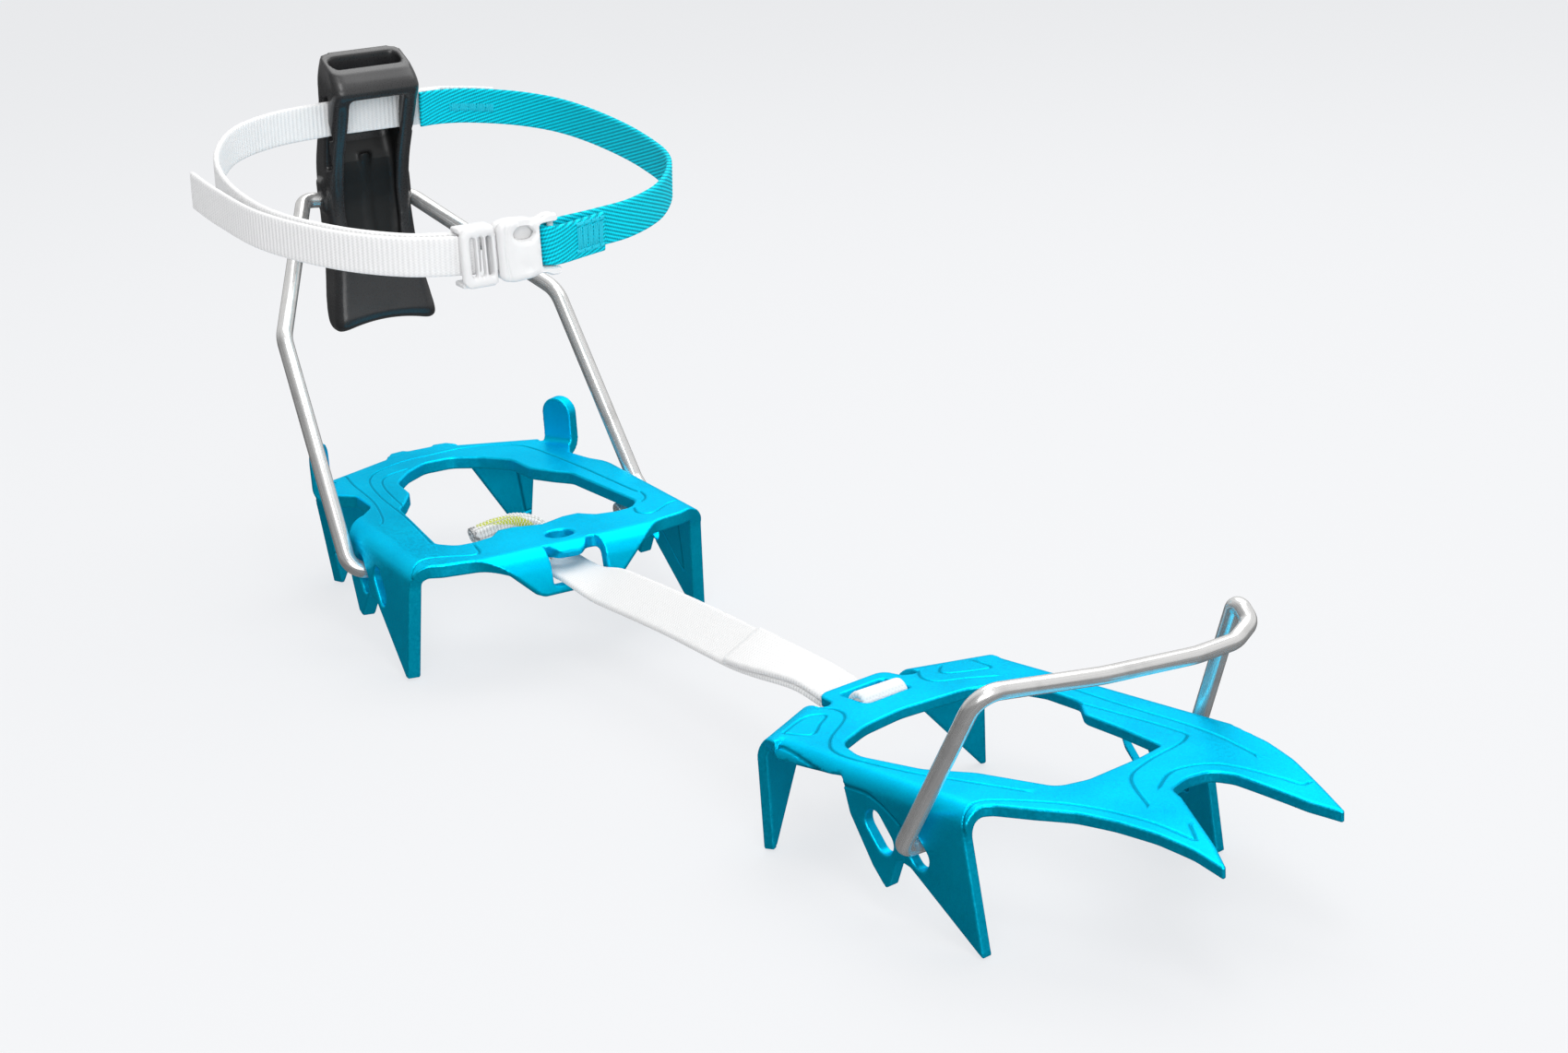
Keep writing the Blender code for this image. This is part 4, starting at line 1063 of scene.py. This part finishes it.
def strap(path, frames, width, thick, cols, relief):
    """Flat strap along a path: ribbed faces, round edges, fields along and across it."""
    built = bmesh.new()
    fields = [built.verts.layers.float.new(n) for n in ("along", "across")]
    a, b = thick / 2, width / 2 - thick / 2
    section = [(a, b - 2 * b * k / cols, 1) for k in range(cols + 1)]
    section += [(a * math.cos(t), -b - a * math.sin(t), 0) for t in (0.6, 1.2, 1.94, 2.54)]
    section += [(-a, -b + 2 * b * k / cols, -1) for k in range(cols + 1)]
    section += [(-a * math.cos(t), b + a * math.sin(t), 0) for t in (0.6, 1.2, 1.94, 2.54)]
    rings, gone = [], 0.0
    for i, (spot, (side, up)) in enumerate(zip(path, frames)):
        gone += (spot - path[i - 1]).length if i else 0.0
        pinch = 1.0 if 0 < i < len(path) - 1 else 0.6
        ring = []
        for u, v, face in section:
            lift = relief(gone, v) * face * pinch
            vert = built.verts.new((spot + side * (u * pinch + lift) + up * v) * MM)
            vert[fields[0]] = gone
            vert[fields[1]] = v
            ring.append(vert)
        rings.append(ring)
    count = len(section)
    for p, q in zip(rings, rings[1:]):
        for k in range(count):
            j = (k + 1) % count
            built.faces.new([p[k], p[j], q[j], q[k]])
    last = 2 * cols + 5
    for ring in (rings[0], rings[-1]):
        for k in range(cols):
            built.faces.new([ring[k], ring[k + 1], ring[last - k - 1], ring[last - k]])
        built.faces.new(ring[cols:cols + 6])
        built.faces.new(ring[last:] + [ring[0]])
    return built


def loop_height(x):
    """The ankle loop sinks a little from the lever to the buckle."""
    return 124.2 - LOOP_SLOPE * (x + 114.4)


def on_loop(points):
    """Plan points lifted onto the loop's sloping plane."""
    return [(x, y, loop_height(x)) for x, y in points]


def edge_on(path, reach=3):
    """Side and up directions of a strap standing on edge."""
    frames = []
    for i in range(len(path)):
        ahead = (path[min(i + reach, len(path) - 1)] - path[max(i - reach, 0)]).normalized()
        up = Vector((LOOP_SLOPE, 0, 1)).normalized()
        up = (up - ahead * up.dot(ahead)).normalized()
        frames.append((ahead.cross(up).normalized(), up))
    return frames


def bar_tack(built, path, frames, start, end, low, high, pitch, out, thick):
    """Rows of short stitches standing proud of a strap."""
    spots = np.array([tuple(p) for p in path])
    runs = np.concatenate([[0], np.cumsum(np.linalg.norm(np.diff(spots, axis=0), axis=1))])
    for k in range(int((end - start) / pitch)):
        at = start + k * pitch
        i = int(np.searchsorted(runs, at))
        if i >= len(path):
            break
        side, up = frames[i]
        lean = 0.5 * pitch * (1 if k % 2 else -1)
        ahead = (path[min(i + 1, len(path) - 1)] - path[i - 1]).normalized()
        line = []
        for t in (0.0, 0.12, 0.3, 0.5, 0.7, 0.88, 1.0):
            swell = math.sin(math.pi * t) ** 0.5
            line.append(path[i] + up * (low + (high - low) * t) + ahead * lean * (t - 0.5)
                        + side * (out * (thick + 0.16 * swell - 0.05)))
        tube(line, 0.17, 7, None, 0.05, built)


def straps(white, teal, stitch, tag):
    """Webbing with its tab, and the elastic with its stitching, each with its own weave."""
    run = [(-113.6, 24.0), (-114.4, 3.0), (-114.2, -11.0), (-111.0, -27.0), (-101.0, -41.0),
           (-80.0, -52.0), (-55.0, -56.5), (-30.0, -54.5), (-10.0, -45.0), (3.0, -33.0),
           (8.0, -22.6)]
    turn = [(9.4, -18.2), (11.0, -17.4), (12.0, -19.6)]
    tail = [(6.2, -33.6), (-7.6, -47.0), (-29.0, -57.4), (-52.0, -61.0), (-69.0, -62.0)]
    path, _ = even(smooth_path(on_loop(run + turn + tail), 20), 0.21)
    show("webbing", strap(path, edge_on(path), STRAP_W, STRAP_T - 0.16, 10,
                          lambda s, v: 0.07 * math.sin(math.tau * s / WEB_PITCH)), white, "lever",
         ["ankle_webbing"])

    run = [(-111.2, 17.4), (-111.2, 24.0), (-108.0, 32.0), (-99.0, 42.5), (-86.0, 50.0),
           (-67.0, 54.0), (-45.0, 55.0), (-24.0, 52.0), (-6.0, 41.0), (4.0, 28.0),
           (7.6, 16.0), (9.4, 5.5)]
    turn = [(10.6, 0.9), (12.7, -1.1), (14.8, 0.1), (15.0, 3.5)]
    back = [(12.8, 10.5), (11.0, 16.5)]
    path, marks = even(smooth_path(on_loop(run + turn + back), 20), 0.3)
    frames = edge_on(path)
    built = strap(path, frames, STRAP_W, STRAP_T - 0.16, 22,
                  lambda s, v: 0.075 * math.sin(math.tau * (s + v * TWILL_LEAN) / TWILL_PITCH))
    show("elastic", built, teal, "lever", ["ankle_elastic"])
    sewn = bmesh.new()
    whole = marks[-1]
    bar_tack(sewn, path, frames, 9.0, 22.0, -1.3, 0.9, 0.34, 1, STRAP_T / 2)
    bar_tack(sewn, path, frames, whole - 9.6, whole - 0.9, -2.6, 3.2, 0.36, 1, STRAP_T / 2)
    for low in (-3.4, 3.5):
        bar_tack(sewn, path, frames, whole - 9.9, whole - 0.7, low, low + 0.9, 0.34, 1,
                 STRAP_T / 2)
    show("elastic_stitching", sewn, stitch, "lever")
    flap, _ = even(smooth_path(on_loop([(-115.2, 17.0), (-114.8, 24.0), (-110.7, 32.4),
                                        (-106.2, 38.0)]), 20), 0.21)
    show("webbing_tab", strap(flap, edge_on(flap), STRAP_W, 1.1, 10,
                              lambda s, v: 0.07 * math.sin(math.tau * s / WEB_PITCH)), tag, "lever")


def link(mat):
    """Flat link from the heel window to the toe ring, doubled over at the toe end."""
    points = [(2.0, 0.0, 23.2), (13.5, 0.4, 23.2), (30.0, 2.0, 23.6), (60.0, 6.0, 23.6)]
    points += [tuple(toe_world((x, 0.0, z))) for x, z in (
        (-109, 24.6), (-90, 24.0), (-78, 22.0), (-73.4, 22.7), (-70.9, 25.0), (-69.2, 27.2),
        (-67.2, 27.9), (-65.7, 26.6), (-65.4, 24.4))]
    path, _ = even(smooth_path(points, 20), 0.3)

    def lying(line):
        frames = []
        for i in range(len(line)):
            ahead = (line[min(i + 3, len(line) - 1)] - line[max(i - 3, 0)]).normalized()
            share = min(1.0, max(0.0, line[i].x / TOE_PLACE[0]))
            side = Vector((-math.sin(TOE_YAW * share), math.cos(TOE_YAW * share), 0))
            side = (side - ahead * side.dot(ahead)).normalized()
            up = ahead.cross(side).normalized()
            free = max(0.0, min(1.0, (line[i].x - 14.0) / 18.0, (120.0 - line[i].x) / 32.0))
            tilt = LINK_TILT * free * free * (3 - 2 * free)
            side = side * math.cos(tilt) + up * math.sin(tilt)
            frames.append((ahead.cross(side).normalized(), side))
        return frames
    weave = lambda s, v: 0.03 * math.sin(math.tau * s / 0.9) * math.sin(math.tau * v / 0.9)
    show("link", strap(path, lying(path), LINK_W, 1.7, 24, weave), mat, "link",
         ["link_strap"])
    over = [p for p in path if p.x > 90.0]
    over = over[:next(i for i, p in enumerate(over) if p.z > 22.8 and p.x > 128)]
    frames = lying(over)
    raised = [p + side * 1.5 * min(1.0, 0.55 + i / 14) for i, (p, (side, up)) in
              enumerate(zip(over, frames))]
    show("link_overlap", strap(raised, frames, LINK_W - 0.2, 1.5, 24, weave), mat, "link")


# ------------------------------------------------------------------------- lever and buckle

LEVER = ((61.6, -124.4, -117.6, 13.8), (64.0, -126.6, -115.6, 15.2),
         (70.0, -129.2, -116.6, 14.6), (80.0, -131.2, -118.2, 13.1),
         (92.0, -131.9, -119.4, 12.6), (101.0, -131.9, -119.4, 12.5),
         (110.0, -130.6, -116.4, 12.5), (119.0, -126.0, -111.2, 12.6),
         (127.0, -121.6, -106.8, 12.8), (133.6, -119.6, -103.6, 12.8),
         (139.0, -118.0, -107.0, 12.0))


def loft(stations, ease_by, tilt=0.0, mid=LEVER_Y, built=None, pieces=4):
    """Stack rounded rectangles (height, back, front, half width) into one body."""
    built = built or bmesh.new()
    fine = [tuple(p) + (q[0],) for p, q in zip(
        smooth_path([s[:3] for s in stations], pieces),
        smooth_path([(s[3], 0, 0) for s in stations], pieces))]
    rings = []
    for z, back, front, half in fine:
        ease = min(ease_by, 0.45 * (front - back), 0.42 * half)
        lean = tilt * min(1.0, max(0.0, (z - 128) / 5))
        ring = []
        for cx, cy, start in ((back + ease, mid - half + ease, math.pi),
                              (front - ease, mid - half + ease, 1.5 * math.pi),
                              (front - ease, mid + half - ease, 0.0),
                              (back + ease, mid + half - ease, 0.5 * math.pi)):
            for k in range(6):
                turn = start + math.pi / 2 * k / 5
                x, y = cx + ease * math.cos(turn), cy + ease * math.sin(turn)
                rise = lean * ((front - x) / (front - back) - 0.4)
                ring.append(built.verts.new(Vector((x, y, z + rise)) * MM))
        rings.append(ring)
    for a, b in zip(rings, rings[1:]):
        for i in range(len(a)):
            j = (i + 1) % len(a)
            built.faces.new([a[i], a[j], b[j], b[i]])
    built.faces.new(list(reversed(rings[0])))
    built.faces.new(rings[-1])
    return built


def block(size, centre, ease, built=None):
    """Rounded block added to a mesh."""
    built = built or bmesh.new()
    fresh = bmesh.ops.create_cube(built, size=1.0)["verts"]
    for vert in fresh:
        vert.co = Vector([(v * s + c) * MM for v, s, c in zip(vert.co, size, centre)])
    if ease:
        edges = list({e for v in fresh for e in v.link_edges})
        bmesh.ops.bevel(built, geom=edges, offset=ease * MM, segments=4, profile=0.5,
                        affect="EDGES")
    return built


def loose(name, built):
    """Plain object from a mesh, for cutting with or baking."""
    bmesh.ops.recalc_face_normals(built, faces=built.faces)
    mesh = bpy.data.meshes.new(name)
    built.to_mesh(mesh)
    built.free()
    item = bpy.data.objects.new(name, mesh)
    bpy.context.scene.collection.objects.link(item)
    return item


def carved(body, cutters, extras=(), voxel=0.45, rounds=5):
    """Cut a body, join extra blocks, and blend it all into one softly moulded skin."""
    item = loose("work", body)
    tools = [loose("cutter", cutter) for cutter in cutters]
    for tool in tools:
        mod = item.modifiers.new("cut", "BOOLEAN")
        mod.operation, mod.solver, mod.object = "DIFFERENCE", "EXACT", tool
    bpy.context.view_layer.update()
    mesh = bpy.data.meshes.new_from_object(item.evaluated_get(bpy.context.evaluated_depsgraph_get()))
    joined = bmesh.new()
    joined.from_mesh(mesh)
    for extra in extras:
        part = bpy.data.meshes.new("extra")
        bmesh.ops.recalc_face_normals(extra, faces=extra.faces)
        extra.to_mesh(part)
        extra.free()
        joined.from_mesh(part)
    for old in tools + [item]:
        bpy.data.objects.remove(old)
    item = loose("work", joined)
    mod = item.modifiers.new("skin", "REMESH")
    mod.mode, mod.voxel_size = "VOXEL", voxel * MM
    mod = item.modifiers.new("soft", "SMOOTH")
    mod.factor, mod.iterations = 0.5, rounds
    bpy.context.view_layer.update()
    mesh = bpy.data.meshes.new_from_object(item.evaluated_get(bpy.context.evaluated_depsgraph_get()))
    bpy.data.objects.remove(item)
    built = bmesh.new()
    built.from_mesh(mesh)
    return built


def lever(mat):
    """Moulded lever: open top, front window, strap tunnel, wire bore and inner rib."""
    hollow = [(z, max(back + 2.0, edge - deep), edge - wall, half) for (z, back, edge, _), deep,
              wall, half in zip(LEVER[3:], (2.6, 3.4, 3.6, 5.6, 14.0, 14.0, 14.0, 14.0),
                                (1.6, 1.6, 1.6, 2.0, 2.2, 3.4, 4.0, 2.8),
                                (7.0, 8.6, 8.6, 8.6, 8.8, 9.6, 10.0, 10.2))]
    hollow[0] = (77.6, -120.6, -119.0, 7.0)
    hollow.append((150.0, -116.0, -104.8, 10.4))
    front = [(z, edge - 3.6, edge + 6.0, 7.9) for z, back, edge, half in LEVER[3:9]]
    front[0] = (78.4, front[0][1], front[0][2], 6.6)
    front.append((129.6, -109.6, -99.0, 7.9))
    slot_cut = [(109.0, -120.6, -118.0, 4.0), (118.0, -117.4, -114.8, 4.0),
                (126.0, -114.6, -112.0, 4.0), (131.0, -112.9, -110.4, 4.0)]
    start = Vector(CROSS_NEAR)
    run = Vector(CROSS_FAR) - start
    bore = tube([start - run * 0.2, start + run * 1.2], HEEL_WIRE / 2 + 0.35, 24)
    thumb = tube([Vector((-108.0, LEVER_Y - 30, 62.0)), Vector((-108.0, LEVER_Y + 30, 62.0))],
                 8.2, 40)
    cutters = [loft(hollow, 2.4), loft(front, 1.2), block((2.9, 40, 12.2), (-114.3, LEVER_Y, 124.2),
                                                          0.6), bore, thumb,
               loft(slot_cut, 1.0, mid=-10.5)]
    extras = [loft(((80.0, -124.0, -121.4, 1.5), (92.0, -125.0, -122.7, 1.5),
                    (101.0, -125.0, -122.9, 1.5), (112.0, -123.5, -121.0, 1.5)), 0.7)]
    for side in (-1, 1):
        extras.append(block((6.0, 2.6, 10.0), (-125.2, LEVER_Y + side * 12.2, 101.0), 1.2))
    built = carved(loft(LEVER, 3.0, 5.0), cutters, extras, 0.5)
    # The inner field marks the sunken insides of the hollow and window, painted near black as painted
    # shade.
    inner = built.verts.layers.float.new("inner")
    for vert in built.verts:
        y, z = vert.co.y / MM - LEVER_Y, vert.co.z / MM
        edge = next(((a[2] + (b[2] - a[2]) * (z - a[0]) / (b[0] - a[0])) for a, b in
                     zip(LEVER, LEVER[1:]) if a[0] <= z <= b[0]), -107.0)
        sunk = edge - vert.co.x / MM
        vert[inner] = float(76 < z < 136 and abs(y) < 10.1 and 1.2 < sunk < 10.5)
        vert.co.z += 2.4 * MM * max(0.0, (72 - z) / 10) * max(0.0, 1 - (y / 14.6) ** 2)
    show("lever", built, mat, "lever", ["heel_lever"])


def upright(x, z):
    """Placing function for a buckle plate standing in the loop's plane."""
    return lambda plan, lift: Vector((x + lift, plan.x, z + plan.y))


def merge(parts):
    """Join meshes into one."""
    whole = bmesh.new()
    for part in parts:
        mesh = bpy.data.meshes.new("part")
        bmesh.ops.recalc_face_normals(part, faces=part.faces)
        part.to_mesh(mesh)
        part.free()
        whole.from_mesh(mesh)
    return whole


def buckle(mat, clip_mat):
    """White side-release buckle: socket with lobes around the elastic, and its ladder clip."""
    x, z = 12.8, loop_height(12.8)
    half = [(-13.4, -6.9, 2.2), (-9.6, -7.8, 5), (-4.8, -7.4, 5), (-2.0, -6.5, 2.5),
            (0.2, -7.6, 1.6), (2.8, -7.6, 1.6), (2.8, -5.5, 0.9), (-2.1, -5.4, 0.8)]
    outline = half + [(a, -b, r) for a, b, r in reversed(half)]
    lens = rounded([(-9.6, 3.7, 1.0), (-7.6, 2.3, 2.0), (-4.6, 2.3, 2.0), (-3.6, 3.9, 0.5),
                    (-5.2, 5.5, 2.0), (-8.0, 5.5, 2.0)])

    def dimple(plan):
        away = (plan - Vector((-6.2, -4.4))).length
        return 0.55 * max(0.0, 1 - (away / 1.5) ** 2) ** 0.5 if away < 1.5 else 0.0
    seam = curve2(((-11.2, -6.2), (-11.6, -2.0), (-11.6, 2.0), (-11.2, 6.2)), 4)
    shell = Sheet(rounded(outline), [lens], 3.0, 1.35, [seam], pitch=0.9)
    inner = [(a, b * 0.97, r) for a, b, r in outline]
    base = Sheet(rounded(inner), [], 3.4, 1.2, pitch=1.4)
    bar = tube([Vector((x, 1.5, z - 6.6)), Vector((x, 1.5, z + 6.6))], 0.85, 14)
    show("buckle_female", merge([shell.solid(upright(x + 1.7, z), dimple),
                                 base.solid(upright(x - 1.5, z)), bar]), mat, "lever",
         ["buckle_socket"], 45)
    x, z = 11.4, loop_height(12.0) - 0.5
    frame_line = [(-22.6, -7.4, 2.4), (-13.6, -7.4, 1.2), (-13.6, 7.4, 1.2), (-22.6, 7.4, 2.4)]
    rungs = [rounded([(y - 0.6, -4.7, 0.5), (y + 0.6, -4.7, 0.5), (y + 0.6, 4.9, 0.5),
                      (y - 0.6, 4.9, 0.5)]) for y in (-19.6, -17.5, -15.4)]
    front = Sheet(rounded(frame_line), rungs, 2.4, 0.9, pitch=0.9)
    parts = [front.solid(upright(x + 2.3, z))]
    for side in (-1, 1):
        parts.append(block((5.4, 8.8, 1.4), (x - 0.8, -18.1, z + side * 6.65), 0.55))
    parts.append(block((4.6, 1.2, 12.4), (x - 0.2, -14.3, z), 0.4))
    parts.append(block((2.6, 4.6, 9.0), (x + 1.2, -12.2, z + 0.4), 0.6))
    show("buckle_male", merge(parts), clip_mat, "lever", ["buckle_clip"], 45)


def main():
    camera()
    studio()
    teal = anodised("anodised_teal", (0.0, 0.62, 0.97), (0.0, 0.52, 0.86))
    teal_toe = anodised("anodised_teal_toe", (0.0, 0.59, 0.94), (0.0, 0.47, 0.78))
    heel_section(teal)
    toe_section(teal_toe)
    wires(steel("heel_wire_steel", 0.74), steel("toe_wire_steel", 0.8))
    lever(moulded("lever_plastic", (0.017, 0.017, 0.018), (0.026, 0.026, 0.027), 0.3, 0.12, 0.12,
                  paint_recess_shade=True))
    white = woven("white_webbing", (0.7, 0.7, 0.705), (0.85, 0.85, 0.85), WEB_PITCH, 0.7, 0.3)
    elastic = twill("teal_elastic", (0.0, 0.2, 0.28), (0.0, 0.8, 0.98), TWILL_PITCH, TWILL_LEAN)
    stitch = thread("stitch_teal", (0.0, 0.45, 0.6), (0.0, 0.72, 0.9))
    straps(white, elastic, stitch, white)
    buckle(moulded("buckle_plastic", (0.73, 0.73, 0.735), (0.8, 0.8, 0.8), 0.38, 0.1),
           moulded("clip_plastic", (0.73, 0.73, 0.735), (0.8, 0.8, 0.8), 0.4, 0.1))
    link(woven("link_webbing", (0.64, 0.64, 0.64), (0.8, 0.8, 0.8), 0.9, 0.9, 0.25))
    cord(braid("cord_white"))
    bpy.context.scene.view_settings.view_transform = "Standard"


main()
